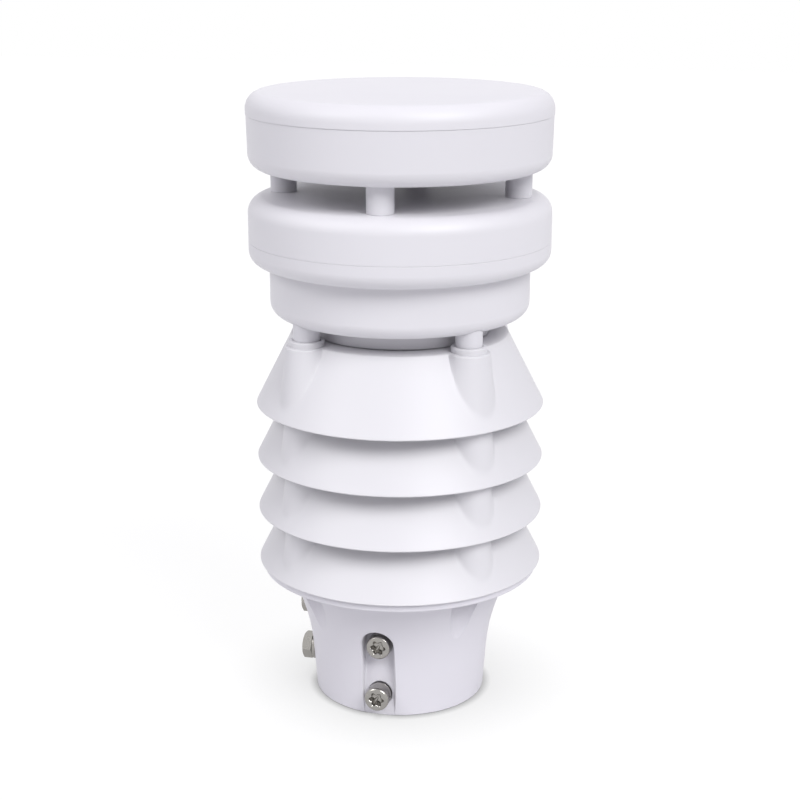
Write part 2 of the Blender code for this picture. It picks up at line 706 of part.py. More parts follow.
def columns_and_ties(column_material, steel):
    """The columns beside the neck, and the bolts and nuts that hold the whole stack together."""
    low = SHIELD_TOP - BOSS_DROP + COLLAR_HEIGHT - COLUMN_SOCKET + FIT
    high = STEP_FOOT + COLUMN_SEAT - FIT
    column = tube("column", COLUMN_RADIUS, TIE_HOLE, low, high, BOSS_STEPS)
    nut_low = STEP_FOOT + LOWER_FLOOR + FIT
    nut_high = nut_low + TIE_NUT_HEIGHT
    head = SOCKET_HEIGHT + TIE_SINK - FIT
    bolt_outline = [
        (0.0, nut_high + TIE_TAIL),
        (TIE_RADIUS, nut_high + TIE_TAIL),
        (TIE_RADIUS, head),
        (TIE_HEAD_RADIUS, head),
        (TIE_HEAD_RADIUS, head - TIE_HEAD_HEIGHT),
        (0.0, head - TIE_HEAD_HEIGHT),
    ]
    bolt = turned("tie_bolt", bolt_outline, SMALL_STEPS)
    nut_blank = hidden("tie_nut_shape", hexagon("tie_nut", TIE_NUT_RADIUS, nut_low, nut_high))
    hole = rod("tie_nut_hole", TIE_RADIUS + FIT, nut_low - FIT, nut_high + FIT, SMALL_STEPS)
    nut = carved(nut_blank, hole, "DIFFERENCE")
    for corner, bearing in CORNERS.items():
        spot = around(BOSS_CIRCLE, HEAD_TURN + bearing)
        piece(f"column_{corner}", column, column_material, spot)
        piece(f"tie_bolt_{corner}", bolt, steel, spot)
        piece(f"tie_nut_{corner}", nut, steel, spot)


def flare_outline():
    """The socket's outer side from its foot up to the base plate: a drafted wall, then a hollow flare."""
    lean = math.atan2(WAIST_RADIUS - FOOT_RADIUS, WAIST_HEIGHT)
    points = [(FOOT_RADIUS, 0.0, FOOT_FILLET)]
    steps = FILLET_STEPS + 1
    for step in range(steps + 1):
        rise = (SOCKET_HEIGHT - FIT - WAIST_HEIGHT) * step / steps
        turn = math.asin(math.sin(lean) + rise / FLARE_ARC)
        points.append((WAIST_RADIUS + FLARE_ARC * (math.cos(lean) - math.cos(turn)), WAIST_HEIGHT + rise))
    return points


def clamp_pairs():
    """Each clamp groove's name, bearing, the height of its lower screw, its two seats and its washers."""
    return (
        ("front", SIDES["front"], CLAMP_LOW, (FRONT_LOWER_SEAT, FRONT_UPPER_SEAT), FRONT_WASHER),
        ("side", SIDES["left"], CLAMP_LOW + SIDE_RAISE, (SIDE_SEAT, SIDE_SEAT), SIDE_WASHER),
    )


def mast_socket(material):
    """The foot: a flared sleeve for the mast, with a stop inside and pockets for the tie bolts' heads."""
    top = SOCKET_HEIGHT - FIT
    shelf = WEB_FOOT - FIT
    outline = filleted([
        (MAST_BORE, 0.0),
        *flare_outline(),
        (HUB_RADIUS + FIT, top),
        (HUB_RADIUS + FIT, shelf),
        (RECESS_RADIUS, shelf),
        (RECESS_RADIUS, MAST_DEPTH),
        (MAST_BORE, MAST_DEPTH),
    ])
    socket = piece("mast_socket", turned("mast_socket", outline, LARGE_STEPS), material)
    pocket = rod("corner_pocket", POCKET_RADIUS, 0.0, SOCKET_HEIGHT, BOSS_STEPS)
    for bearing in CORNERS.values():
        shape_with(socket, pocket, "DIFFERENCE", around(BOSS_CIRCLE, HEAD_TURN + bearing))
    for name, bearing, low, seats, washer in clamp_pairs():
        clamp_groove(socket, name, bearing, low, seats, washer)


def base_plate(material):
    """The plate on the socket, with a hub that is bonded into it and four pedestals for the louvres."""
    outline = [
        (CONNECTOR_RADIUS + FIT, FLANGE_TOP),
        (FLANGE_RADIUS, FLANGE_TOP),
        (FLANGE_RADIUS, SOCKET_HEIGHT),
        (HUB_RADIUS, SOCKET_HEIGHT),
        (HUB_RADIUS, WEB_FOOT),
        (CONNECTOR_RADIUS + FIT, WEB_FOOT),
    ]
    plate = piece("base_plate", turned("base_plate", outline, LARGE_STEPS), material)
    lift = SHIELD_FOOT - LOUVRE_PITCH
    pedestal = turned("pedestal", boss_outline(FLANGE_TOP - FLANGE_THICKNESS / 2 - lift), BOSS_STEPS)
    top = BOSS_TOP + COLLAR_HEIGHT + lift + FIT
    sink = SOCKET_HEIGHT + TIE_SINK
    bore_outline = [
        (0.0, top),
        (TIE_HOLE, top),
        (TIE_HOLE, sink),
        (TIE_HEAD_RADIUS + FIT, sink),
        (TIE_HEAD_RADIUS + FIT, SOCKET_HEIGHT - FIT),
        (0.0, SOCKET_HEIGHT - FIT),
    ]
    bore = turned("tie_bore", bore_outline, BOSS_STEPS)
    for bearing in CORNERS.values():
        spot = around(BOSS_CIRCLE, HEAD_TURN + bearing)
        shape_with(plate, pedestal, "UNION", spot + Vector((0.0, 0.0, lift)))
        shape_with(plate, bore, "DIFFERENCE", spot)


def clamp_groove(socket, name, bearing, low, seats, washer):
    """Cuts one clamp groove with its screws' seats and holes and the pocket of its thread bar."""
    turn = outward(bearing)
    shape_with(socket, arched_bar(name, low), "DIFFERENCE", (0.0, 0.0, 0.0), turn)
    for height, seat in zip((low, low + CLAMP_SPACING), seats):
        spot = Vector((0.0, 0.0, height))
        face = rod(f"{name}_seat", washer + SEAT_SLACK, seat, FLANGE_RADIUS, BOSS_STEPS)
        hole = rod(f"{name}_clamp_hole", CLAMP_HOLE, MAST_BORE / 2, seat + FIT, BOSS_STEPS)
        shape_with(socket, face, "DIFFERENCE", spot, turn)
        shape_with(socket, hole, "DIFFERENCE", spot, turn)
    bar_half = BAR_WIDTH / 2 + FIT
    pocket = block(
        f"{name}_bar_pocket",
        (-bar_half, low - BAR_MARGIN - FIT, MAST_BORE / 2),
        (bar_half, low + CLAMP_SPACING + BAR_MARGIN + FIT, BAR_FACE),
    )
    shape_with(socket, pocket, "DIFFERENCE", (0.0, 0.0, 0.0), turn)


def arched_bar(name, low):
    """A groove cutter with a half-round top, its floor leaning so that the groove runs out at the foot."""
    half = GROOVE_WIDTH / 2
    arch = GROOVE_TOP - half + low - CLAMP_LOW
    rim = [(-half, -half), (half, -half)]
    for step in range(SMALL_STEPS + 1):
        angle = math.pi * step / SMALL_STEPS
        rim.append((half * math.cos(angle), arch + half * math.sin(angle)))
    floor = [(across, height, GROOVE_FOOT - GROOVE_LEAN * height) for across, height in rim]
    return prism(f"{name}_groove", floor, FLANGE_RADIUS)


def thread_bars(material):
    """A tapped bar behind each groove, in a pocket of the mast bore."""
    for name, bearing, low, _, _ in clamp_pairs():
        half = BAR_WIDTH / 2
        inner = MAST_BORE + FIT
        bar = block(
            f"{name}_thread_bar",
            (-half, low - BAR_MARGIN, inner),
            (half, low + CLAMP_SPACING + BAR_MARGIN, inner + BAR_THICKNESS),
        )
        turn = outward(bearing)
        thing = piece(f"{name}_thread_bar", bar, material, (0.0, 0.0, 0.0), turn)
        hole = rod(f"{name}_bar_hole", CLAMP_HOLE, inner - FIT, inner + BAR_THICKNESS + FIT, BOSS_STEPS)
        for height in (low, low + CLAMP_SPACING):
            shape_with(thing, hole, "DIFFERENCE", (0.0, 0.0, height), turn)


def cap_screw():
    """A socket-head screw along +Z, its head's seat at zero."""
    outline = [
        (0.0, CAP_SCREW_HEIGHT),
        (CAP_SCREW_HEAD - CLAMP_CHAMFER, CAP_SCREW_HEIGHT),
        (CAP_SCREW_HEAD, CAP_SCREW_HEIGHT - CLAMP_CHAMFER),
        (CAP_SCREW_HEAD, 0.0),
        (CLAMP_THREAD, 0.0),
        (CLAMP_THREAD, CLAMP_CHAMFER - CAP_SCREW_LENGTH),
        (CLAMP_THREAD - CLAMP_CHAMFER, -CAP_SCREW_LENGTH),
        (0.0, -CAP_SCREW_LENGTH),
    ]
    blank = hidden("cap_screw_shape", turned("cap_screw", outline, BOSS_STEPS))
    return carved(blank, star_key(), "DIFFERENCE")


def star_key():
    """The cutter for a cap screw's six-lobed key socket."""
    low = CAP_SCREW_HEIGHT - STAR_KEY_DEPTH
    outline = []
    for step in range(STAR_STEPS):
        angle = 2 * math.pi * step / STAR_STEPS
        radius = STAR_KEY + STAR_KEY_LOBE * math.cos(STAR_KEY_LOBES * angle)
        outline.append((radius * math.cos(angle), radius * math.sin(angle), low))
    return prism("star_key", outline, CAP_SCREW_HEIGHT + FIT)


def hex_bolt():
    """A hexagon-head bolt along +Z, its head's seat at zero."""
    head = hidden("hex_bolt_shape", hexagon("hex_head", HEX_HEAD, 0.0, HEX_HEIGHT))
    dome = [
        (0.0, HEX_HEIGHT),
        (HEX_HEAD - CLAMP_CHAMFER, HEX_HEIGHT),
        (HEX_HEAD + CLAMP_CHAMFER, HEX_HEIGHT - CLAMP_CHAMFER),
        (HEX_HEAD + CLAMP_CHAMFER, -CLAMP_CHAMFER),
        (0.0, -CLAMP_CHAMFER),
    ]
    shape_with(head, turned("hex_dome", dome, BOSS_STEPS), "INTERSECT")
    shank = [
        (0.0, HEX_HEIGHT / 2),
        (CLAMP_THREAD, HEX_HEIGHT / 2),
        (CLAMP_THREAD, CLAMP_CHAMFER - HEX_LENGTH),
        (CLAMP_THREAD - CLAMP_CHAMFER, -HEX_LENGTH),
        (0.0, -HEX_LENGTH),
    ]
    return carved(head, turned("hex_shank", shank, BOSS_STEPS), "UNION")


def carved(blank, tool_mesh, operation):
    """The mesh of a hidden blank after one more Boolean."""
    shape_with(blank, tool_mesh, operation)
    return finished_mesh(blank)


def clamp_screws(steel):
    """Two socket-head screws in front and two hexagon bolts at the left, each with its own washer."""
    kinds = {
        "front": ("screw", cap_screw(), FRONT_WASHER_THICKNESS),
        "side": ("bolt", hex_bolt(), SIDE_WASHER_THICKNESS),
    }
    lifts = {
        "front": (FRONT_LOWER_LIFT, FRONT_UPPER_LIFT),
        "side": (SIDE_LIFT, SIDE_LIFT),
    }
    for name, bearing, low, seats, washer_radius in clamp_pairs():
        kind, mesh, thickness = kinds[name]
        turn = outward(bearing)
        washer = tube(f"{name}_washer", washer_radius, CLAMP_HOLE, 0.0, thickness, BOSS_STEPS)
        heights = (low, low + CLAMP_SPACING)
        for level, height, seat, lift in zip(("lower", "upper"), heights, seats, lifts[name]):
            washer_spot = around(seat + lift, bearing, height)
            screw_spot = around(seat + lift + thickness + FIT, bearing, height)
            piece(f"{name}_washer_{level}", washer, steel, washer_spot, turn)
            piece(f"{name}_clamp_{kind}_{level}", mesh, steel, screw_spot, turn)


def connector(body_material, contact_material, rubber):
    """The panel connector under the base plate's hub: body, gasket, nut and contact insert."""
    gasket_high = WEB_FOOT - FIT
    gasket_low = gasket_high - GASKET_THICKNESS
    flange_high = gasket_low - FIT
    low = MAST_DEPTH + CONNECTOR_RECESS
    nut_low = FLANGE_TOP + FIT
    top = nut_low + PANEL_NUT_HEIGHT + PANEL_NUT_TAIL
    body = [
        (0.0, top),
        (CONNECTOR_RADIUS, top),
        (CONNECTOR_RADIUS, flange_high),
        (CONNECTOR_FLANGE_RADIUS, flange_high),
        (CONNECTOR_FLANGE_RADIUS, flange_high - CONNECTOR_FLANGE),
        (CONNECTOR_RADIUS, flange_high - CONNECTOR_FLANGE),
        (CONNECTOR_RADIUS, low),
        (CONNECTOR_CUP, low),
        (CONNECTOR_CUP, low + CONNECTOR_CUP_DEPTH),
        (0.0, low + CONNECTOR_CUP_DEPTH),
    ]
    piece("connector_body", turned("connector_body", body, BOSS_STEPS), body_material)
    bore = CONNECTOR_RADIUS + FIT
    gasket = tube("connector_gasket", CONNECTOR_FLANGE_RADIUS, bore, gasket_low, gasket_high, BOSS_STEPS)
    piece("connector_gasket", gasket, rubber)
    nut_high = nut_low + PANEL_NUT_HEIGHT
    nut = piece("connector_nut", hexagon("connector_nut", PANEL_NUT_RADIUS, nut_low, nut_high), body_material)
    nut_hole = rod("connector_nut_hole", bore, nut_low - FIT, nut_high + FIT, BOSS_STEPS)
    shape_with(nut, nut_hole, "DIFFERENCE")
    back = low + CONNECTOR_CUP_DEPTH - FIT
    face = back - CONTACT_DISC
    disc = rod("connector_insert", CONNECTOR_CUP - FIT, face, back, BOSS_STEPS)
    insert = piece("connector_insert", disc, contact_material)
    contact = rod("contact", CONTACT_RADIUS, face - CONTACT_LENGTH, (face + back) / 2, SMALL_STEPS // 2)
    for number in range(CONTACT_COUNT):
        shape_with(insert, contact, "UNION", around(CONTACT_CIRCLE, 360.0 * number / CONTACT_COUNT))
    return top


def smooth_route(points, steps):
    """Points along a smooth curve that passes through the given points."""
    ends = [points[0] * 2 - points[1], *points, points[-1] * 2 - points[-2]]
    route = []
    for a, b, c, d in zip(ends, ends[1:], ends[2:], ends[3:]):
        for step in range(steps):
            t = step / steps
            route.append((b * 2 + (c - a) * t + (a * 2 - b * 5 + c * 4 - d) * t**2
                          + (b * 3 - a - c * 3 + d) * t**3) / 2)
    return [*route, points[-1]]


def harness(connector_top, material, rubber):
    """The cable from the connector up past the probe to the main board, and the grommet it goes through."""
    x, y = CABLE_PLACE
    floor = STEP_FOOT + LOWER_FLOOR
    start = connector_top + FIT
    end = floor + STANDOFF_HEIGHT
    bend = start + CABLE_STRAIGHT
    places = [
        Vector((0.0, 0.0, start)),
        Vector((0.0, 0.0, (start + bend) / 2)),
        Vector((0.0, 0.0, bend)),
        Vector((x / 2, y / 2, bend + CABLE_SWING / 2)),
        Vector((x, y, bend + CABLE_SWING)),
        Vector((x, y, NECK_FOOT)),
        Vector((x, y, end)),
    ]
    curve = bpy.data.curves.new("harness_cable", "CURVE")
    curve.dimensions = "3D"
    curve.bevel_depth = CABLE_RADIUS
    curve.bevel_resolution = CABLE_BEVEL_STEPS
    curve.use_fill_caps = True
    route = smooth_route(places, CABLE_STEPS)
    line = curve.splines.new("POLY")
    line.points.add(len(route) - 1)
    for spot, point in zip(route, line.points):
        point.co = (*spot, 1.0)
    place("harness_cable", curve).data.materials.append(material)
    bore = CABLE_RADIUS + FIT
    outline = [
        (bore, floor + FIT + GROMMET_FLANGE),
        (GROMMET_RADIUS + GROMMET_FLANGE, floor + FIT + GROMMET_FLANGE),
        (GROMMET_RADIUS + GROMMET_FLANGE, floor + FIT),
        (GROMMET_RADIUS, floor + FIT),
        (GROMMET_RADIUS, STEP_FOOT),
        (bore, STEP_FOOT),
    ]
    piece("cable_grommet", turned("cable_grommet", outline, SMALL_STEPS), rubber, (x, y, 0.0))


def main():
    """Builds the station from its foot up."""
    for thing in list(bpy.data.objects):
        bpy.data.objects.remove(thing, do_unlink=True)
    white = finish("white_shell", (0.85, 0.85, 0.87), 0.42)
    white_louvre = finish("white_louvre", (0.87, 0.87, 0.89), 0.45)
    white_post = finish("white_post", (0.84, 0.84, 0.86), 0.45)
    white_socket = finish("white_socket", (0.83, 0.83, 0.86), 0.48)
    steel = finish("stainless_steel", (0.62, 0.6, 0.57), 0.28, 1.0)
    brass = finish("tapped_brass", (0.72, 0.55, 0.28), 0.35, 1.0)
    nickel = finish("nickel_plate", (0.66, 0.64, 0.6), 0.25, 1.0)
    black = finish("black_plastic", (0.03, 0.03, 0.032), 0.5)
    rubber = finish("black_rubber", (0.02, 0.02, 0.02), 0.8)
    green = finish("circuit_board", (0.02, 0.16, 0.07), 0.45)
    grey = finish("sensor_face", (0.35, 0.36, 0.37), 0.55)
    sheath = finish("cable_sheath", (0.05, 0.05, 0.055), 0.6)
    mesh_filter = finish("filter_sinter", (0.78, 0.77, 0.74), 0.85)

    mast_socket(white_socket)
    base_plate(white_socket)
    thread_bars(brass)
    clamp_screws(steel)
    connector_top = connector(nickel, black, rubber)
    harness(connector_top, sheath, rubber)
    louvres(white_louvre)
    columns_and_ties(white_post, steel)
    neck(white_louvre)
    probe(black, mesh_filter, green)
    lower_housing(white)
    board("main_board", "main_board_screw", STEP_FOOT + LOWER_FLOOR, green, steel)
    seal("disc_seal", DISC_SEAM + SPIGOT_DEPTH + FIT, rubber)
    reflector_cover(white)
    wind_posts(white_post)
    wind_housing(white)
    transducers(grey)
    board("driver_board", "driver_board_screw", HOUSING_FOOT + UPPER_FLOOR, green, steel)
    seal("cap_seal", CAP_SEAM - LEDGE_DEPTH + FIT, rubber)
    top_cap(white)


main()
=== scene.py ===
"""Dressed look of a compact mast-top weather station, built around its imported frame.

Lengths are in metres, +Z is up and -Y is the front, where the socket-head clamp screws are. Places and
levels come from the frame's nodes, and the sizes that a box can't give are fields of each sub-assembly.
"""

from __future__ import annotations

import json
import logging
import math
from dataclasses import dataclass
from enum import Enum
from typing import Any, Iterable, Sequence

import bmesh
import bpy
from mathutils import Matrix, Vector

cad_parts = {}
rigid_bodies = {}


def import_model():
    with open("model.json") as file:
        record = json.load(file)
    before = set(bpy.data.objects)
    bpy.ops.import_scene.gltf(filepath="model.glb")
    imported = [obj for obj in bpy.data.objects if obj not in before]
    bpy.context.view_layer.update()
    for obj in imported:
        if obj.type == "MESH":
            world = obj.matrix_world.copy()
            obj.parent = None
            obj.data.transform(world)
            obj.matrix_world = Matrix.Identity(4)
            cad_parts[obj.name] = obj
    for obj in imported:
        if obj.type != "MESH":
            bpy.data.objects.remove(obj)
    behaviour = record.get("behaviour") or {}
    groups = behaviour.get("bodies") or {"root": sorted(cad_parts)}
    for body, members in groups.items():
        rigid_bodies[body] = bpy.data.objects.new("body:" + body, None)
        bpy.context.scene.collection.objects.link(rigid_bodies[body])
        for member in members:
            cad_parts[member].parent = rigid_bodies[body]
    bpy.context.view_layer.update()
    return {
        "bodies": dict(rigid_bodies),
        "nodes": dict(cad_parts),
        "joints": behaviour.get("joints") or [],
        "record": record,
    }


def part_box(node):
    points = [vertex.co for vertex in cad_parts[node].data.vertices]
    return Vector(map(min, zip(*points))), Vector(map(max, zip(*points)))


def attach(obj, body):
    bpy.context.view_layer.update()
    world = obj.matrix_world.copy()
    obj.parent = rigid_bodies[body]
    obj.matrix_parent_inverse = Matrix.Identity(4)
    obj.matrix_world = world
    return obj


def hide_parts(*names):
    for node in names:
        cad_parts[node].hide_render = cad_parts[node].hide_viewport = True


LOG = logging.getLogger("weather_station")

MM = 0.001
WELD = 0.002 * MM
RELIEF_DEPTH = 0.05 * MM
SMOOTH_ANGLE = 32.0
QUARTER_TURN = 90.0
FULL_TURN = 360.0

Point = tuple[float, float]
Corner = tuple[float, ...]
Colour = tuple[float, float, float]


class Facets(Enum):
    """How finely round forms are divided."""

    LARGE = 160
    MEDIUM = 72
    SMALL = 48
    FILLET = 8


class ClampSide(Enum):
    """The two clamp grooves, each with the bearing in degrees that it faces."""

    FRONT = 0.0
    SIDE = 270.0

    def axes(self) -> Matrix:
        """The frame of this groove: across it, up it, and out of it."""
        angle = math.radians(self.value)
        across = Vector((math.cos(angle), math.sin(angle), 0.0))
        out = Vector((math.sin(angle), -math.cos(angle), 0.0))
        return Matrix((across, Vector((0.0, 0.0, 1.0)), out)).transposed().to_4x4()

    def kind(self) -> str:
        """What clamps in this groove, as the frame's nodes name it."""
        return "screw" if self is ClampSide.FRONT else "bolt"


def rounded(corners: Sequence[Corner], steps: int = Facets.FILLET.value) -> list[Point]:
    """Rounds the corners of an outline.

    Args:
        corners: Points (radius, height), or (radius, height, fillet) for a corner to round.
        steps: Straight stretches in each fillet.

    Returns:
        The outline's points, with an arc in place of each rounded corner.
    """
    points: list[Point] = []
    for index, corner in enumerate(corners):
        here = Vector(corner[:2])
        if len(corner) == 2:
            points.append((here.x, here.y))
            continue
        before = (Vector(corners[index - 1][:2]) - here).normalized()
        after = (Vector(corners[(index + 1) % len(corners)][:2]) - here).normalized()
        half = before.angle(after) / 2
        middle = here + (before + after).normalized() * corner[2] / math.sin(half)
        start = here + before * corner[2] / math.tan(half) - middle
        stop = here + after * corner[2] / math.tan(half) - middle
        sweep = -start.angle_signed(stop)
        for step in range(steps + 1):
            spoke = Matrix.Rotation(sweep * step / steps, 2) @ start
            points.append((middle.x + spoke.x, middle.y + spoke.y))
    return points


def ring_of(shape: bmesh.types.BMesh, radius: float, height: float, count: int) -> list[bmesh.types.BMVert]:
    """Adds a ring of vertices about Z, or a single one on the axis.

    Args:
        shape: The mesh being made.
        radius: The ring's radius.
        height: The ring's height.
        count: Vertices in a full ring.

    Returns:
        The new vertices in order.
    """
    if radius < WELD:
        return [shape.verts.new((0.0, 0.0, height))]
    angles = [2 * math.pi * step / count for step in range(count)]
    return [shape.verts.new((radius * math.cos(a), radius * math.sin(a), height)) for a in angles]


def bridge(
    shape: bmesh.types.BMesh, ring: list[bmesh.types.BMVert], following: list[bmesh.types.BMVert]
) -> None:
    """Joins two rings with faces, and closes a flat end with one face.

    Args:
        shape: The mesh being made.
        ring: One ring, or a single vertex on the axis.
        following: The next ring along the outline.
    """
    if len(ring) == 1 and len(following) == 1:
        return
    if len(ring) > 1 and len(following) > 1:
        for index, vertex in enumerate(ring):
            shape.faces.new((ring[index - 1], vertex, following[index], following[index - 1]))
        return
    pole, rim = (ring[0], following) if len(ring) == 1 else (following[0], ring)
    if abs(pole.co.z - rim[0].co.z) < WELD:
        shape.faces.new(rim)
        return
    for index, vertex in enumerate(rim):
        shape.faces.new((rim[index - 1], vertex, pole))


def closed_mesh(name: str, shape: bmesh.types.BMesh) -> bpy.types.Mesh:
    """Turns finished mesh code into mesh data with its faces turned outward.

    Args:
        name: The mesh's name.
        shape: The mesh being made, which is freed.

    Returns:
        The mesh data.
    """
    loose = [vertex for vertex in shape.verts if not vertex.link_faces]
    bmesh.ops.delete(shape, geom=loose, context="VERTS")
    bmesh.ops.recalc_face_normals(shape, faces=shape.faces[:])
    mesh = bpy.data.meshes.new(name)
    shape.to_mesh(mesh)
    shape.free()
    return mesh


def turned(name: str, outline: Sequence[Point], count: int) -> bpy.types.Mesh:
    """Turns a closed outline about Z.

    Args:
        name: The mesh's name.
        outline: Points (radius, height) in order.
        count: Facets around the axis.

    Returns:
        The turned mesh.
    """
    shape = bmesh.new()
    rings = [ring_of(shape, radius, height, count) for radius, height in outline]
    for ring, following in zip(rings, rings[1:] + rings[:1]):
        bridge(shape, ring, following)
    return closed_mesh(name, shape)


def repeated(name: str, mesh: bpy.types.Mesh, places: Iterable[Matrix]) -> bpy.types.Mesh:
    """Copies a mesh to several places as one mesh.

    Args:
        name: The new mesh's name.
        mesh: The mesh to copy.
        places: Where each copy goes.

    Returns:
        One mesh with every copy.
    """
    shape = bmesh.new()
    for place in places:
        copy = mesh.copy()
        copy.transform(place)
        shape.from_mesh(copy)
        bpy.data.meshes.remove(copy)
    result = bpy.data.meshes.new(name)
    shape.to_mesh(result)
    shape.free()
    return result


def middle_of(node: str) -> Vector:
    """The middle of a frame node's box."""
    low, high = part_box(node)
    return (low + high) / 2


def spots_of(prefix: str, names: Iterable[str]) -> list[Matrix]:
    """The plan places of several upright nodes.

    Args:
        prefix: The start of the nodes' names.
        names: The end of each name.

    Returns:
        A move from the axis to each node, at height zero.
    """
    middles = [middle_of(f"{prefix}_{name}") for name in names]
    return [Matrix.Translation((middle.x, middle.y, 0.0)) for middle in middles]


CORNERS = ("front_right", "back_right", "back_left", "front_left")
SIDES = ("front", "right", "back", "left")


class Carving:
    """A mesh that other meshes are added to or cut from."""

    def __init__(self, name: str, mesh: bpy.types.Mesh) -> None:
        """Starts from a blank.

        Args:
            name: The finished mesh's name.
            mesh: The blank.
        """
        self.name = name
        self.blank = self._link(mesh)
        self.tools: list[bpy.types.Object] = []

    def _link(self, mesh: bpy.types.Mesh) -> bpy.types.Object:
        """Puts a mesh in the scene for as long as the carving takes."""
        thing = bpy.data.objects.new(f"{self.name}_carving", mesh)
        bpy.context.scene.collection.objects.link(thing)
        return thing

    def _with(self, mesh: bpy.types.Mesh, operation: str) -> Carving:
        """Adds one Boolean step."""
        tool = self._link(mesh)
        self.tools.append(tool)
        step = self.blank.modifiers.new(operation, "BOOLEAN")
        step.operation = operation
        step.solver = "EXACT"
        step.object = tool
        return self

    def add(self, mesh: bpy.types.Mesh) -> Carving:
        """Joins a mesh to the blank."""
        return self._with(mesh, "UNION")

    def cut(self, mesh: bpy.types.Mesh) -> Carving:
        """Cuts a mesh out of the blank."""
        return self._with(mesh, "DIFFERENCE")

    def keep(self, mesh: bpy.types.Mesh) -> Carving:
        """Keeps only what the blank shares with a mesh."""
        return self._with(mesh, "INTERSECT")

    def finished(self) -> bpy.types.Mesh:
        """Applies every step and clears the tools away.

        Returns:
            The carved mesh.
        """
        graph = bpy.context.evaluated_depsgraph_get()
        mesh = bpy.data.meshes.new_from_object(self.blank.evaluated_get(graph))
        mesh.name = self.name
        for thing in (self.blank, *self.tools):
            bpy.data.objects.remove(thing, do_unlink=True)
        return mesh


# The Mix node has an A and a B for each kind of value, so its colour sockets go by number.
MIX_FIRST, MIX_SECOND, MIX_RESULT = 6, 7, 2


class Wiring:
    """Places and joins the nodes of one shader tree."""

    def __init__(self, tree: bpy.types.NodeTree) -> None:
        """Keeps the tree that the nodes go in."""
        self.tree = tree

    def node(self, kind: str, settings: dict[str, Any] | None = None, **inputs: Any) -> bpy.types.Node:
        """Places a node.

        Args:
            kind: Blender's name for the node's type.
            settings: Properties to set on the node.
            **inputs: Values or output sockets for its inputs, with _ for a space in their names.

        Returns:
            The node.
        """
        node = self.tree.nodes.new(kind)
        for name, value in (settings or {}).items():
            setattr(node, name, value)
        for name, value in inputs.items():
            self.feed(node.inputs[name.replace("_", " ")], value)
        return node

    def feed(self, socket: bpy.types.NodeSocket, value: Any) -> None:
        """Links an output to an input, or sets the input's own value."""
        if isinstance(value, bpy.types.NodeSocket):
            self.tree.links.new(value, socket)
        else:
            socket.default_value = value

    def maths(self, operation: str, first: Any, second: Any = 0.0) -> bpy.types.NodeSocket:
        """Works out one sum of two values.

        Args:
            operation: Blender's name for the operation.
            first: The first value or socket.
            second: The second value or socket.

        Returns:
            The result's socket.
        """
        node = self.tree.nodes.new("ShaderNodeMath")
        node.operation = operation
        self.feed(node.inputs[0], first)
        self.feed(node.inputs[1], second)
        return node.outputs[0]

    def spread(self, value: Any, low: Any, high: Any) -> bpy.types.NodeSocket:
        """Maps a value from 0..1 onto low..high.

        Args:
            value: The value or socket to map.
            low: The result at 0.
            high: The result at 1.

        Returns:
            The result's socket.
        """
        node = self.node("ShaderNodeMapRange", Value=value)
        self.feed(node.inputs["To Min"], low)
        self.feed(node.inputs["To Max"], high)
        return node.outputs["Result"]

    def mixed(self, share: Any, first: Any, second: Any, blend: str = "MIX") -> bpy.types.NodeSocket:
        """Mixes two colours.

        Args:
            share: How much of the second colour shows.
            first: The first colour or socket.
            second: The second colour or socket.
            blend: Blender's name for the way they mix.

        Returns:
            The mixed colour's socket.
        """
        node = self.node("ShaderNodeMix", {"data_type": "RGBA", "blend_type": blend})
        self.feed(node.inputs[0], share)
        self.feed(node.inputs[MIX_FIRST], first)
        self.feed(node.inputs[MIX_SECOND], second)
        return node.outputs[MIX_RESULT]

    def choice(self, share: Any, first: bpy.types.Node, second: bpy.types.Node) -> bpy.types.Node:
        """Mixes two shaders.

        Args:
            share: How much of the second shader shows.
            first: The first shader.
            second: The second shader.

        Returns:
            The mix.
        """
        mix = self.node("ShaderNodeMixShader")
        self.feed(mix.inputs[0], share)
        self.feed(mix.inputs[1], first.outputs[0])
        self.feed(mix.inputs[2], second.outputs[0])
        return mix


class Skin(Enum):
    """The surface effects that a finish can have."""

    MOULDED = "moulded_skin"
    TURNED = "turned_metal"
    SOFT = "soft_bloom"
    BOARD = "etched_board"


SURFACE_INPUTS = {"Tint": "Color", "Drift": "Float", "Gloss": "Float", "Scale": "Float"}
SURFACE_OUTPUTS = {"Colour": "Color", "Roughness": "Float", "Height": "Float"}


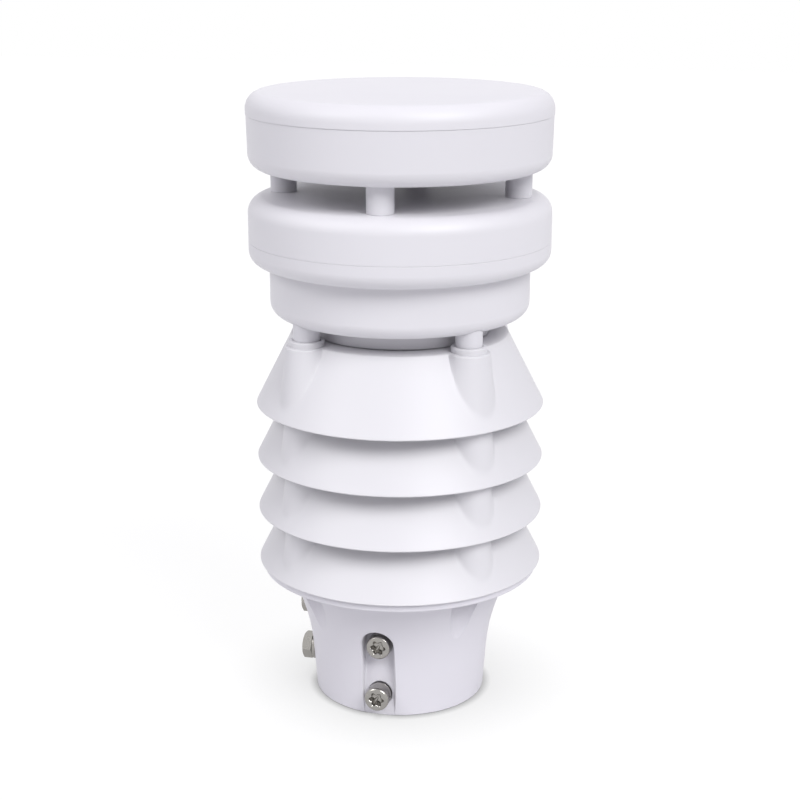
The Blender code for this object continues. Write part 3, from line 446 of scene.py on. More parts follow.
class Effect:
    """A node group that gives the finishes of one skin their colour, roughness and relief."""

    def __init__(self, skin: Skin) -> None:
        """Starts the group with its named sockets.

        Args:
            skin: The skin that it is for.
        """
        self.tree = bpy.data.node_groups.new(skin.value, "ShaderNodeTree")
        for direction, sockets in (("INPUT", SURFACE_INPUTS), ("OUTPUT", SURFACE_OUTPUTS)):
            for label, kind in sockets.items():
                self.tree.interface.new_socket(label, in_out=direction, socket_type=f"NodeSocket{kind}")
        self.wiring = Wiring(self.tree)
        self.given = self.tree.nodes.new("NodeGroupInput").outputs
        self.result = self.tree.nodes.new("NodeGroupOutput").inputs
        self.place = self.wiring.node("ShaderNodeTexCoord").outputs["Object"]

    def noise(self, scale: Any, detail: float) -> bpy.types.NodeSocket:
        """Soft noise over the piece.

        Args:
            scale: Patches in a metre, as a value or socket.
            detail: How many times finer noise is added.

        Returns:
            The noise's socket, from 0 to 1.
        """
        node = self.wiring.node("ShaderNodeTexNoise", Vector=self.place, Scale=scale, Detail=detail)
        return node.outputs[0]

    def tinted(
        self, mask: bpy.types.NodeSocket, colour: tuple[float, ...], blend: str = "MULTIPLY"
    ) -> bpy.types.NodeSocket:
        """The finish's tint, changed where a mask is strong and as far as its drift lets it.

        Args:
            mask: Where the change shows.
            colour: The colour that changes the tint.
            blend: Blender's name for the way they mix.

        Returns:
            The colour's socket.
        """
        tint = self.given["Tint"]
        changed = self.wiring.mixed(1.0, tint, colour, blend)
        share = self.wiring.maths("MULTIPLY", mask, self.given["Drift"])
        return self.wiring.mixed(share, tint, changed)

    def roughened(self, change: bpy.types.NodeSocket) -> bpy.types.NodeSocket:
        """The finish's own roughness with a change added."""
        return self.wiring.maths("ADD", self.given["Gloss"], change)

    def put_out(self, **values: bpy.types.NodeSocket) -> bpy.types.NodeTree:
        """Joins the group's outputs.

        Args:
            **values: The socket for each output.

        Returns:
            The finished group.
        """
        for label, socket in values.items():
            self.tree.links.new(socket, self.result[label])
        return self.tree


def moulded_skin() -> bpy.types.NodeTree:
    """The skin of a moulded part: a slow drift of tone, fine spark grain and a patchy gloss.

    Returns:
        The node group.
    """
    drift_scale, drift_detail, grain_detail = 22.0, 3.0, 2.0
    shade = (0.93, 0.93, 0.945, 1.0)
    patch_range, speck_range = 0.06, 0.05
    effect = Effect(Skin.MOULDED)
    wiring = effect.wiring
    drift = effect.noise(drift_scale, drift_detail)
    grain = effect.noise(effect.given["Scale"], grain_detail)
    patch = wiring.spread(drift, -patch_range, patch_range)
    speck = wiring.spread(grain, -speck_range, speck_range)
    rough = effect.roughened(wiring.maths("ADD", patch, speck))
    return effect.put_out(Colour=effect.tinted(drift, shade), Roughness=rough, Height=grain)


def turned_metal() -> bpy.types.NodeTree:
    """Bare metal off a lathe: fine rings about the piece's own axis, and handling marks.

    Returns:
        The node group.
    """
    mark_scale, mark_detail, ring_share = 420.0, 4.0, 0.4
    handled = (0.72, 0.71, 0.69, 1.0)
    polished, worn = -0.08, 0.1
    effect = Effect(Skin.TURNED)
    wiring = effect.wiring
    split = wiring.node("ShaderNodeSeparateXYZ", Vector=effect.place).outputs
    squares = [wiring.maths("POWER", split[axis], 2.0) for axis in range(2)]
    radius = wiring.maths("SQRT", wiring.maths("ADD", *squares))
    travel = wiring.maths("MULTIPLY", wiring.maths("ADD", radius, split[2]), effect.given["Scale"])
    rings = wiring.maths("MULTIPLY", wiring.maths("SINE", travel), ring_share)
    marks = effect.noise(mark_scale, mark_detail)
    rough = effect.roughened(wiring.spread(marks, polished, worn))
    height = wiring.maths("ADD", rings, marks)
    return effect.put_out(Colour=effect.tinted(marks, handled), Roughness=rough, Height=height)


def soft_bloom() -> bpy.types.NodeTree:
    """Rubber: a pale bloom in patches over a finely pitted skin.

    Returns:
        The node group.
    """
    bloom_scale, bloom_detail, bloom_range = 90.0, 5.0, 0.08
    powder = (0.03, 0.03, 0.032, 1.0)
    effect = Effect(Skin.SOFT)
    wiring = effect.wiring
    bloom = effect.noise(bloom_scale, bloom_detail)
    pits = wiring.node("ShaderNodeTexVoronoi", Vector=effect.place, Scale=effect.given["Scale"])
    rough = effect.roughened(wiring.spread(bloom, -bloom_range, bloom_range))
    colour = effect.tinted(bloom, powder, "ADD")
    return effect.put_out(Colour=colour, Roughness=rough, Height=pits.outputs["Distance"])


def etched_board() -> bpy.types.NodeTree:
    """A circuit board: tracks and pads raised under its solder mask.

    Returns:
        The node group.
    """
    bands_per_cell, track_start, track_gloss = 4.0, 0.62, 0.05
    copper = (1.5, 1.6, 1.3, 1.0)
    effect = Effect(Skin.BOARD)
    wiring = effect.wiring
    cells = wiring.node(
        "ShaderNodeTexVoronoi",
        {"distance": "MANHATTAN", "feature": "F1"},
        Vector=effect.place,
        Scale=effect.given["Scale"],
    ).outputs["Distance"]
    bands = wiring.maths("FRACT", wiring.maths("MULTIPLY", cells, bands_per_cell))
    track = wiring.maths("GREATER_THAN", bands, track_start)
    rough = effect.roughened(wiring.spread(track, track_gloss, -track_gloss))
    return effect.put_out(Colour=effect.tinted(track, copper), Roughness=rough, Height=track)


@dataclass(frozen=True)
class Finish:
    """One finish of the station, named for the record's material slot."""

    slot: str
    skin: Skin
    colour: Colour
    gloss: float
    drift: float
    scale: float
    relief: float
    metallic: float = 0.0
    specular: float = 0.5

    def material(self, effects: dict[Skin, bpy.types.NodeTree]) -> bpy.types.Material:
        """Builds the material.

        Args:
            effects: The shared surface effects.

        Returns:
            A Principled material that takes its colour, roughness and relief from the finish's effect.
        """
        material = bpy.data.materials.new(self.slot)
        material.use_nodes = True
        wiring = Wiring(material.node_tree)
        shader = material.node_tree.nodes["Principled BSDF"]
        surface = wiring.node(
            "ShaderNodeGroup",
            {"node_tree": effects[self.skin]},
            Tint=(*self.colour, 1.0),
            Drift=self.drift,
            Gloss=self.gloss,
            Scale=self.scale,
        ).outputs
        relief = wiring.node(
            "ShaderNodeBump", Strength=self.relief, Distance=RELIEF_DEPTH, Height=surface["Height"]
        )
        for label, value in (
            ("Metallic", self.metallic),
            ("Specular IOR Level", self.specular),
            ("Base Color", surface["Colour"]),
            ("Roughness", surface["Roughness"]),
            ("Normal", relief.outputs["Normal"]),
        ):
            wiring.feed(shader.inputs[label], value)
        return material


FINISHES = (
    Finish("shell_white", Skin.MOULDED, (0.727, 0.718, 0.744), 0.46, 0.5, 2200.0, 0.10),
    Finish("louvre_white", Skin.MOULDED, (0.70, 0.693, 0.714), 0.48, 0.5, 2200.0, 0.12),
    Finish("post_white", Skin.MOULDED, (0.70, 0.693, 0.722), 0.50, 0.4, 2600.0, 0.10),
    Finish("socket_white", Skin.MOULDED, (0.705, 0.692, 0.735), 0.48, 0.5, 2000.0, 0.14),
    Finish("stainless", Skin.TURNED, (0.38, 0.367, 0.35), 0.2, 0.5, 24000.0, 0.08, 1.0),
    Finish("tapped_brass", Skin.TURNED, (0.66, 0.48, 0.22), 0.34, 0.5, 16000.0, 0.15, 1.0),
    Finish("nickel", Skin.TURNED, (0.60, 0.58, 0.54), 0.22, 0.4, 18000.0, 0.10, 1.0),
    Finish("black_plastic", Skin.MOULDED, (0.024, 0.024, 0.026), 0.52, 0.3, 2600.0, 0.20),
    Finish("black_rubber", Skin.SOFT, (0.018, 0.018, 0.018), 0.78, 0.6, 3200.0, 0.25),
    Finish("circuit_board", Skin.BOARD, (0.014, 0.13, 0.05), 0.38, 0.8, 260.0, 0.35),
    Finish("sensor_face", Skin.TURNED, (0.30, 0.31, 0.32), 0.50, 0.4, 9000.0, 0.20, 1.0),
    Finish("cable_sheath", Skin.SOFT, (0.035, 0.035, 0.038), 0.60, 0.5, 2600.0, 0.15),
    Finish("filter_sinter", Skin.SOFT, (0.70, 0.69, 0.66), 0.85, 0.3, 2400.0, 0.60),
)


class Workshop:
    """Fits finished pieces to the frame."""

    def __init__(self, frame: dict[str, Any]) -> None:
        """Reads the frame's record and makes its finishes.
        """
        record = frame["record"]
        self.nodes = frame["nodes"]
        self.slot_of = {entry["node"]: entry["material_slot"] for entry in record["subparts"]}
        self.body_of = {node: body for body, nodes in record["behaviour"]["bodies"].items() for node in nodes}
        effects = {
            Skin.MOULDED: moulded_skin(),
            Skin.TURNED: turned_metal(),
            Skin.SOFT: soft_bloom(),
            Skin.BOARD: etched_board(),
        }
        self.materials = {finish.slot: finish.material(effects) for finish in FINISHES}

    def fit(
        self,
        name: str,
        mesh: bpy.types.Mesh,
        node: str,
        place: Matrix | None = None,
        smooth: float = SMOOTH_ANGLE,
    ) -> bpy.types.Object:
        """Puts a piece in the place of a frame node.

        Args:
            name: The piece's name.
            mesh: Its mesh, which several pieces may share.
            node: The frame node that it stands for.
            place: Where its own origin goes.
            smooth: The angle in degrees above which an edge stays sharp.

        Returns:
            The fitted piece.
        """
        slot = self.slot_of[node]
        thing = bpy.data.objects.new(name, mesh)
        bpy.context.scene.collection.objects.link(thing)
        thing.matrix_world = place or Matrix.Identity(4)
        mesh.materials.clear()
        mesh.materials.append(self.materials[slot])
        mesh.shade_smooth()
        mesh.set_sharp_from_angle(angle=math.radians(smooth))
        even = thing.modifiers.new("Even shading", "WEIGHTED_NORMAL")
        even.keep_sharp = True
        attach(thing, self.body_of[node])
        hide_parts(node)
        LOG.info("fitted %s for %s", name, node)
        return thing

    def dress_frame(self) -> None:
        """Gives every frame node the finish of its slot."""
        for name, thing in self.nodes.items():
            thing.data.materials.clear()
            thing.data.materials.append(self.materials[self.slot_of[name]])
            LOG.info("dressed %s", name)


@dataclass
class WindHead:
    """The two discs of the wind sensor and the posts between them."""

    workshop: Workshop
    fit: float = 0.3 * MM
    seam: float = 0.04 * MM
    lip: float = 0.2 * MM
    draft: float = 0.5 * MM
    wall: float = 2.4 * MM
    spigot_wall: float = 2.2 * MM
    spigot_depth: float = 3.6 * MM
    ledge_depth: float = 6.0 * MM
    upper_floor: float = 3.0 * MM
    lower_floor: float = 4.0 * MM
    lid_fillet: float = 6.5 * MM
    upper_fillet: float = 6.0 * MM
    reflector_fillet: float = 6.4 * MM
    ring_fillet: float = 5.4 * MM
    step_fillet: float = 5.5 * MM
    step_inset: float = 8.1 * MM
    ring_height: float = 9.2 * MM
    root_fillet: float = 1.2 * MM
    seam_fillet: float = 0.14 * MM
    can_radius: float = 5.3 * MM
    spigot_hole: float = 4.1 * MM
    column_seat: float = 2.0 * MM
    column_hole: float = 5.55 * MM
    grommet_hole: float = 5.0 * MM

    def __post_init__(self) -> None:
        """Reads the head's levels and radii from the frame."""
        lid_low, lid_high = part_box("top_cap")
        upper_low, upper_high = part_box("wind_housing")
        cover_low, cover_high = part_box("reflector_cover")
        lower_low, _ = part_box("lower_housing")
        self.head_top = lid_high.z
        self.radius = upper_high.x
        self.lid_rim = upper_high.z + self.seam
        self.upper_rim = upper_high.z
        self.upper_foot = upper_low.z
        self.reflector_top = cover_high.z
        self.reflector_rim = cover_low.z
        self.lower_rim = cover_low.z - self.seam
        self.step_foot = lower_low.z
        self.bore = self.radius - self.wall
        self.spigot = self.bore - self.fit
        self.spigot_bore = self.spigot - self.spigot_wall

    def lid(self) -> None:
        """Fits the round-edged lid, with the spigot that enters the upper shell."""
        low = self.lid_rim - self.spigot_depth
        edge = self.radius + self.lip
        outline = rounded([
            (0.0, self.head_top),
            (edge, self.head_top, self.lid_fillet),
            (edge, self.lid_rim, self.seam_fillet),
            (self.spigot, self.lid_rim),
            (self.spigot, low),
            (self.spigot_bore, low),
            (self.spigot_bore, self.head_top - self.wall),
            (0.0, self.head_top - self.wall),
        ])
        self.workshop.fit("lid", turned("lid", outline, Facets.LARGE.value), "top_cap")

    def upper_shell(self) -> None:
        """Fits the shell under the lid, its floor open for the sound cans and the posts."""
        floor = self.upper_foot + self.upper_floor
        ledge = self.upper_rim - self.ledge_depth
        outline = rounded([
            (self.bore, self.upper_rim),
            (self.radius, self.upper_rim, self.seam_fillet),
            (self.radius - self.draft, self.upper_foot, self.upper_fillet),
            (0.0, self.upper_foot),
            (0.0, floor),
            (self.spigot_bore, floor),
            (self.spigot_bore, ledge),
            (self.bore, ledge),
        ])
        low, high = self.upper_foot - self.upper_floor, floor + self.upper_floor
        can = self.plug("sound_hole", self.can_radius, low, high)
        post = self.plug("post_hole", self.spigot_hole, low, high)
        shell = Carving("upper_shell", turned("upper_shell_blank", outline, Facets.LARGE.value))
        shell.cut(repeated("sound_holes", can, spots_of("transducer", CORNERS)))
        shell.cut(repeated("post_holes", post, spots_of("wind_post", SIDES)))
        self.workshop.fit("upper_shell", shell.finished(), "wind_housing")

    @staticmethod
    def plug(name: str, radius: float, low: float, high: float) -> bpy.types.Mesh:
        """A plain round cutter between two heights.

        Args:
            name: The mesh's name.
            radius: The cutter's radius.
            low: Its lower end.
            high: Its upper end.

        Returns:
            The cutter.
        """
        return turned(name, [(0.0, high), (radius, high), (radius, low), (0.0, low)], Facets.SMALL.value)

    def posts(self) -> None:
        """Fits the four posts across the wind gap, with a soft edge at each end."""
        low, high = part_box("wind_post_front")
        radius = (high.x - low.x) / 2
        lower, upper = self.reflector_top + self.seam, self.upper_foot - self.seam
        pin = self.spigot_hole - self.fit
        outline = rounded([
            (0.0, high.z),
            (pin, high.z),
            (pin, upper),
            (radius, upper, self.seam_fillet),
            (radius, lower, self.seam_fillet),
            (pin, lower),
            (pin, low.z),
            (0.0, low.z),
        ])
        mesh = turned("gap_post", outline, Facets.SMALL.value)
        for side, place in zip(SIDES, spots_of("wind_post", SIDES)):
            self.workshop.fit(f"gap_post_{side}", mesh, f"wind_post_{side}", place)

    def reflector(self) -> None:
        """Fits the disc under the wind gap."""
        ceiling = self.reflector_top - self.upper_floor
        ledge = self.reflector_rim + self.ledge_depth
        outline = rounded([
            (0.0, self.reflector_top),
            (self.radius, self.reflector_top, self.reflector_fillet),
            (self.radius, self.reflector_rim, self.seam_fillet),
            (self.bore, self.reflector_rim),
            (self.bore, ledge),
            (self.spigot_bore, ledge),
            (self.spigot_bore, ceiling),
            (0.0, ceiling),
        ])
        post = self.plug("post_seat", self.spigot_hole, ceiling - self.wall, self.reflector_top + self.wall)
        disc = Carving("reflector_disc", turned("reflector_blank", outline, Facets.LARGE.value))
        disc.cut(repeated("post_seats", post, spots_of("wind_post", SIDES)))
        self.workshop.fit("reflector_disc", disc.finished(), "reflector_cover")

    def lower_shell(self) -> None:
        """Fits the ring and the smaller step under it, with seats for the columns."""
        ring_foot = self.lower_rim + self.seam / 2 - self.ring_height
        step = self.radius - self.step_inset
        floor = self.step_foot + self.lower_floor
        spigot_top = self.lower_rim + self.spigot_depth
        outline = rounded([
            (self.spigot_bore, spigot_top),
            (self.spigot, spigot_top),
            (self.spigot, self.lower_rim),
            (self.radius, self.lower_rim, self.seam_fillet),
            (self.radius, ring_foot, self.ring_fillet),
            (step, ring_foot, self.root_fillet),
            (step, self.step_foot, self.step_fillet),
            (0.0, self.step_foot),
            (0.0, floor),
            (step - self.wall, floor),
            (step - self.wall, ring_foot + self.wall),
            (self.spigot_bore, ring_foot + self.wall),
        ])
        low, high = self.step_foot - self.wall, self.step_foot + self.column_seat
        seat = self.plug("column_seat", self.column_hole, low, high)
        outlet = self.plug("cable_outlet", self.grommet_hole, low, floor + self.wall)
        shell = Carving("lower_shell", turned("lower_blank", outline, Facets.LARGE.value))
        shell.cut(repeated("column_seats", seat, spots_of("column", CORNERS)))
        shell.cut(repeated("cable_outlets", outlet, spots_of("cable", ["grommet"])))
        self.workshop.fit("lower_shell", shell.finished(), "lower_housing")

    def build(self) -> None:
        """Builds the wind head from the top down."""
        self.lid()
        self.upper_shell()
        self.posts()
        self.reflector()
        self.lower_shell()


@dataclass
class SensorShield:
    """The louvres around the probe, with the neck and the columns above them."""

    workshop: Workshop
    rim_radius: float = 58.3 * MM
    top_radius: float = 43.3 * MM
    lip: float = 0.4 * MM
    lip_steps: int = 8
    brow_steps: int = 4
    count: int = 4
    height: float = 29.4 * MM
    pitch: float = 22.2 * MM
    mouth: float = 33.0 * MM
    wall: float = 2.2 * MM
    fit: float = 0.3 * MM
    boss_top: float = 29.1 * MM
    boss_radius: float = 8.3 * MM
    boss_foot: float = 11.0 * MM
    boss_skirt: float = 2.5 * MM
    boss_rows: int = 30
    blend: float = 0.6 * MM
    edge: float = 0.7 * MM
    side_steepness: float = 6.0
    collar_radius: float = 7.0 * MM
    collar_height: float = 2.4 * MM
    collar_fillet: float = 0.5 * MM
    socket_depth: float = 5.0 * MM
    tie_hole: float = 2.45 * MM
    rod_inset: float = 0.2 * MM
    dense_span: float = 15.0
    dense_step: float = 0.6
    open_step: float = 2.5
    edge_fillet: float = 0.4 * MM

    def __post_init__(self) -> None:
        """Reads the louvres' places from the frame."""
        self.slope = (self.rim_radius - self.top_radius) / self.height
        self.boss_seat = self.boss_top - self.pitch + self.fit
        self.boss_draft = (self.boss_foot - self.boss_radius) / (
            self.boss_top - self.boss_seat + self.boss_skirt
        )
        self.corners = spots_of("column", CORNERS)
        self.boss_circle = self.corners[0].translation.length
        self.boss_angles = [math.atan2(c.translation.y, c.translation.x) for c in self.corners]
        column_low, column_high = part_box("column_front_right")
        self.column_radius = (column_high.x - column_low.x) / 2

    def cone(self, height: float) -> float:
        """The cone's radius at a height above its rim."""
        return self.rim_radius - self.slope * height

    def boss(self, height: float) -> float:
        """A boss's drafted radius at a height above the rim."""
        return self.boss_radius + (self.boss_top - height) * self.boss_draft

    def boss_reach(self, angle: float, height: float) -> float:
        """How far the nearest boss reaches from the axis in one direction.

        Args:
            angle: The direction in plan, in radians.
            height: The height above the rim.

        Returns:
            The radius at which the boss ends, falling off steeply beside it.
        """
        aside = min(abs(math.remainder(angle - boss, 2 * math.pi)) for boss in self.boss_angles)
        radius = self.boss(height)
        limit = math.asin(radius / self.boss_circle)
        if aside < limit:
            inner = radius**2 - (self.boss_circle * math.sin(aside)) ** 2
            return self.boss_circle * math.cos(aside) + math.sqrt(inner)
        tangent = math.sqrt(self.boss_circle**2 - radius**2)
        return tangent * (1.0 - (aside - limit) * self.side_steepness)

    def outer(self, angle: float, height: float) -> float:
        """The louvre's outer radius, with the bosses blended into the cone.

        Args:
            angle: The direction in plan, in radians.
            height: The height above the rim.

        Returns:
            The outer radius there.
        """
        cone, boss = self.cone(height), self.boss_reach(angle, height)
        share = min(1.0, max(0.0, 0.5 + 0.5 * (cone - boss) / self.blend))
        return boss + (cone - boss) * share + self.blend * share * (1.0 - share)

    def directions(self) -> list[float]:
        """The plan directions of the louvre's columns of faces, close together at the bosses.

        Returns:
            Angles in radians, in order.
        """
        angles: list[float] = []
        for boss in sorted(math.degrees(angle) % FULL_TURN for angle in self.boss_angles):
            dense = round(2 * self.dense_span / self.dense_step)
            angles += [boss - self.dense_span + self.dense_step * step for step in range(dense)]
            spare = QUARTER_TURN - 2 * self.dense_span
            wide = round(spare / self.open_step)
            angles += [boss + self.dense_span + spare * step / wide for step in range(wide)]
        return [math.radians(angle) for angle in angles]

    def profile(self, angle: float) -> list[Point]:
        """The louvre's closed section in one direction.

        Args:
            angle: The direction in plan, in radians.

        Returns:
            Points (radius, height) up the outside and back down the inside.
        """
        across = self.wall * math.hypot(1.0, self.slope)
        under = self.height - self.wall
        lean = math.atan(self.slope)
        middle = self.rim_radius - self.lip / math.tan((math.pi / 2 - lean) / 2)
        points: list[Point] = [(self.rim_radius - across, 0.0)]
        for step in range(self.lip_steps):
            turn = (math.pi / 2 + lean) * step / self.lip_steps - math.pi / 2
            points.append((middle + self.lip * math.cos(turn), self.lip * (1.0 + math.sin(turn))))
        low, top = self.lip * (1.0 + math.sin(lean)), self.boss_top - self.edge
        for row in range(self.boss_rows + 1):
            height = low + (top - low) * row / self.boss_rows
            points.append((self.outer(angle, height), height))
        brow = self.outer(angle, top)
        for step in range(1, self.brow_steps + 1):
            turn = math.pi / 2 * step / self.brow_steps
            points.append((brow - self.edge * (1.0 - math.cos(turn)), top + self.edge * math.sin(turn)))
        points += [
            (self.top_radius - 2 * self.edge, self.height),
            (self.mouth, self.height),
            (self.mouth, under),
            (self.top_radius + self.slope * self.wall - across, under),
        ]
        return points

    def louvre_mesh(self) -> bpy.types.Mesh:
        """Makes the mesh that the four louvres share.

        Returns:
            A louvre with its bosses and collars, standing on its rim at height zero.
        """
        shape = bmesh.new()
        columns = []
        for angle in self.directions():
            cosine, sine = math.cos(angle), math.sin(angle)
            columns.append([shape.verts.new((r * cosine, r * sine, z)) for r, z in self.profile(angle)])
        for index, column in enumerate(columns):
            bridge(shape, columns[index - 1], column)
        carving = Carving("louvre", closed_mesh("louvre_blank", shape))
        carving.add(repeated("boss_rods", self.boss_rod(), self.corners))
        carving.cut(repeated("boss_bores", self.boss_bore(), self.corners))
        carving.cut(self.crown_clearance())
        return carving.finished()

    def boss_rod(self) -> bpy.types.Mesh:
        """The collar on top of a boss and the skirt inside the cone, as one rod.

        Returns:
            The rod, on the axis.
        """
        skirt = self.boss_seat - self.boss_skirt
        top = self.boss_top + self.collar_height
        outline = rounded([
            (0.0, top),
            (self.collar_radius, top, self.collar_fillet),
            (self.collar_radius, self.boss_top - self.edge),
            (self.boss(self.boss_top) - self.rod_inset, self.boss_top - self.edge),
            (self.boss(skirt) - self.rod_inset, skirt),
            (0.0, skirt),
        ])
        return turned("boss_rod", outline, Facets.MEDIUM.value)

    def boss_bore(self) -> bpy.types.Mesh:
        """The cutter for a boss's column socket, tie hole and the nest for the boss below.

        Returns:
            The cutter, on the axis.
        """
        top = self.boss_top + self.collar_height
        nest_low = -self.fit
        nest_high = self.boss_seat + self.collar_height + self.fit
        outline = [
            (0.0, top + self.fit),
            (self.column_radius + self.fit, top + self.fit),
            (self.column_radius + self.fit, top - self.socket_depth),
            (self.tie_hole, top - self.socket_depth),
            (self.tie_hole, nest_high),
            (self.collar_radius + self.fit, nest_high),
            (self.collar_radius + self.fit, self.boss_seat),
            (self.boss_radius + self.fit, self.boss_seat),
            (self.boss(nest_low + self.pitch) + self.fit, nest_low),
            (0.0, nest_low),
        ]
        return turned("boss_bore", outline, Facets.MEDIUM.value)

    def crown_clearance(self) -> bpy.types.Mesh:
        """The cutter that keeps the skirts clear of the louvre below.

        Returns:
            The cutter.
        """
        crown = self.height - self.pitch + self.fit
        radius = self.top_radius + self.fit * math.hypot(1.0, self.slope)
        low = -self.fit
        foot = radius + self.slope * (crown - low)
        outline = [(0.0, crown), (radius, crown), (foot, low), (0.0, low)]
        return turned("crown_clearance", outline, Facets.LARGE.value)

    def louvres(self) -> None:
        """Fits the four louvres."""
        mesh = self.louvre_mesh()
        for number in range(1, self.count + 1):
            node = f"louvre_{number}"
            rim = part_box(node)[0].z
            self.workshop.fit(f"shield_ring_{number}", mesh, node, Matrix.Translation((0.0, 0.0, rim)))

    def neck(self) -> None:
        """Fits the neck disc between the louvres and the wind head."""
        low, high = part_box("neck")
        stem_low, stem_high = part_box("probe_stem")
        seat = (stem_high.x - stem_low.x) / 2 + self.fit
        outline = rounded([
            (seat, high.z),
            (high.x, high.z, self.edge_fillet),
            (high.x, low.z, self.edge_fillet),
            (seat, low.z),
        ])
        disc = Carving("neck_disc", turned("neck_blank", outline, Facets.LARGE.value))
        grommet_low, grommet_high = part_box("cable_grommet")
        radius = (grommet_high.x - grommet_low.x) / 2
        outlet = WindHead.plug("neck_outlet", radius, low.z - self.wall, high.z + self.wall)
        disc.cut(repeated("neck_outlets", outlet, spots_of("cable", ["grommet"])))
        self.workshop.fit("neck_disc", disc.finished(), "neck")

    def columns(self) -> None:
        """Fits the short columns beside the neck."""
        low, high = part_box("column_front_right")
        outline = rounded([
            (self.tie_hole, high.z),
            (self.column_radius, high.z, self.edge_fillet),
            (self.column_radius, low.z, self.edge_fillet),
            (self.tie_hole, low.z),
        ])
        mesh = turned("head_column", outline, Facets.SMALL.value)
        for corner, place in zip(CORNERS, self.corners):
            self.workshop.fit(f"head_column_{corner}", mesh, f"column_{corner}", place)

    def build(self) -> None:
        """Builds the shield from the neck down."""
        self.neck()
        self.columns()
        self.louvres()


@dataclass
class MastSocket:
    """The flared foot with its corner pockets and clamp grooves, and the base plate on it."""

    workshop: Workshop
    shield: SensorShield
    flange_height: float = 54.3 * MM
    flange_thickness: float = 2.9 * MM
    hub_radius: float = 28.0 * MM
    fit: float = 0.3 * MM
    plate_seam: float = 0.05 * MM
    foot_radius: float = 35.1 * MM
    waist_radius: float = 36.5 * MM
    waist_height: float = 18.0 * MM
    flare_arc: float = 85.0 * MM
    flare_steps: int = 24
    foot_fillet: float = 0.4 * MM
    flange_fillet: float = 0.6 * MM
    mast_bore: float = 24.5 * MM
    mast_depth: float = 40.0 * MM
    recess_radius: float = 20.0 * MM
    web: float = 7.2 * MM
    connector_hole: float = 6.3 * MM
    pocket_radius: float = 6.9 * MM
    pocket_outset: float = 1.0 * MM
    edge_angle: float = 12.0
    tie_head: float = 3.8 * MM
    tie_sink: float = 2.5 * MM
    groove_width: float = 13.0 * MM
    groove_foot: float = 34.6 * MM
    groove_lean: float = 0.13
    groove_top: float = 38.0 * MM
    groove_edge: float = 1.1 * MM
    groove_root: float = 1.0 * MM
    groove_least: float = 0.02 * MM
    groove_share: float = 0.45
    groove_steps: int = 9
    front_low: float = 8.7 * MM
    clamp_hole: float = 3.25 * MM
    seat_slack: float = 0.15 * MM
    front_upper_seat: float = 29.7 * MM
    front_lower_seat: float = 31.2 * MM
    side_seat: float = 29.2 * MM

    def __post_init__(self) -> None:
        """Reads the plate's radius from the frame."""
        self.flange_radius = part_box("base_plate")[1].x
        self.flange_top = self.flange_height + self.flange_thickness
        self.web_foot = self.flange_top - self.web

    def wall_radius(self, height: float) -> float:
        """The socket's outer radius at a height: a drafted wall, then a hollow flare.

        Args:
            height: The height above the foot.

        Returns:
            The outer radius there.
        """
        lean = math.atan2(self.waist_radius - self.foot_radius, self.waist_height)
        if height <= self.waist_height:
            return self.foot_radius + (self.waist_radius - self.foot_radius) * height / self.waist_height
        rise = min(height, self.flange_height) - self.waist_height
        turn = math.asin(math.sin(lean) + rise / self.flare_arc)
        return self.waist_radius + self.flare_arc * (math.cos(lean) - math.cos(turn))

    def sleeve(self) -> bpy.types.Mesh:
        """The turned form of the socket.

        Returns:
            The blank that the pockets and grooves are cut from.
        """
        top = self.flange_height - self.plate_seam
        shelf = self.web_foot - self.fit
        rises = [step / self.flare_steps for step in range(self.flare_steps + 1)]
        levels = [self.waist_height + (top - self.waist_height) * rise for rise in rises]
        outline = rounded([
            (self.mast_bore, 0.0),
            (self.foot_radius, 0.0, self.foot_fillet),
            *[(self.wall_radius(level), level) for level in levels],
            (self.hub_radius + self.fit, top),
            (self.hub_radius + self.fit, shelf),
            (self.recess_radius, shelf),
            (self.recess_radius, self.mast_depth),
            (self.mast_bore, self.mast_depth),
        ])
        return turned("socket_blank", outline, Facets.LARGE.value)

    def pedestal(self) -> bpy.types.Mesh:
        """The stub on the plate that the lowest louvre's boss nests on.

        Returns:
            The stub, on the axis.
        """
        shield = self.shield
        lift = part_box("louvre_4")[0].z - shield.pitch
        low = self.flange_height + self.flange_thickness / 2
        shoulder = shield.boss_top + lift
        top = shoulder + shield.collar_height
        outline = rounded([
            (0.0, top),
            (shield.collar_radius, top, shield.collar_fillet),
            (shield.collar_radius, shoulder),
            (shield.boss_radius, shoulder),
            (shield.boss(low - lift), low),
            (0.0, low),
        ])
        return turned("pedestal", outline, Facets.MEDIUM.value)

    def tie_bore(self) -> bpy.types.Mesh:
        """The cutter for a tie bolt's hole, with the sink for its head.

        Returns:
            The cutter, on the axis.
        """
        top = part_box("base_plate")[1].z + self.fit
        sink = self.flange_height + self.tie_sink
        low = self.flange_height - self.fit
        outline = [
            (0.0, top),
            (self.shield.tie_hole, top),
            (self.shield.tie_hole, sink),
            (self.tie_head, sink),
            (self.tie_head, low),
            (0.0, low),
        ]
        return turned("tie_bore", outline, Facets.SMALL.value)

    def plate(self) -> None:
        """Fits the base plate, with its hub and the pedestals under the louvres."""
        outline = rounded([
            (self.connector_hole, self.flange_top),
            (self.flange_radius, self.flange_top, self.flange_fillet),
            (self.flange_radius, self.flange_height, self.flange_fillet),
            (self.hub_radius, self.flange_height),
            (self.hub_radius, self.web_foot),
            (self.connector_hole, self.web_foot),
        ])
        carving = Carving("plate", turned("plate_blank", outline, Facets.LARGE.value))
        carving.add(repeated("pedestals", self.pedestal(), self.shield.corners))
        carving.cut(repeated("tie_bores", self.tie_bore(), self.shield.corners))
        self.workshop.fit("pedestal_plate", carving.finished(), "base_plate")

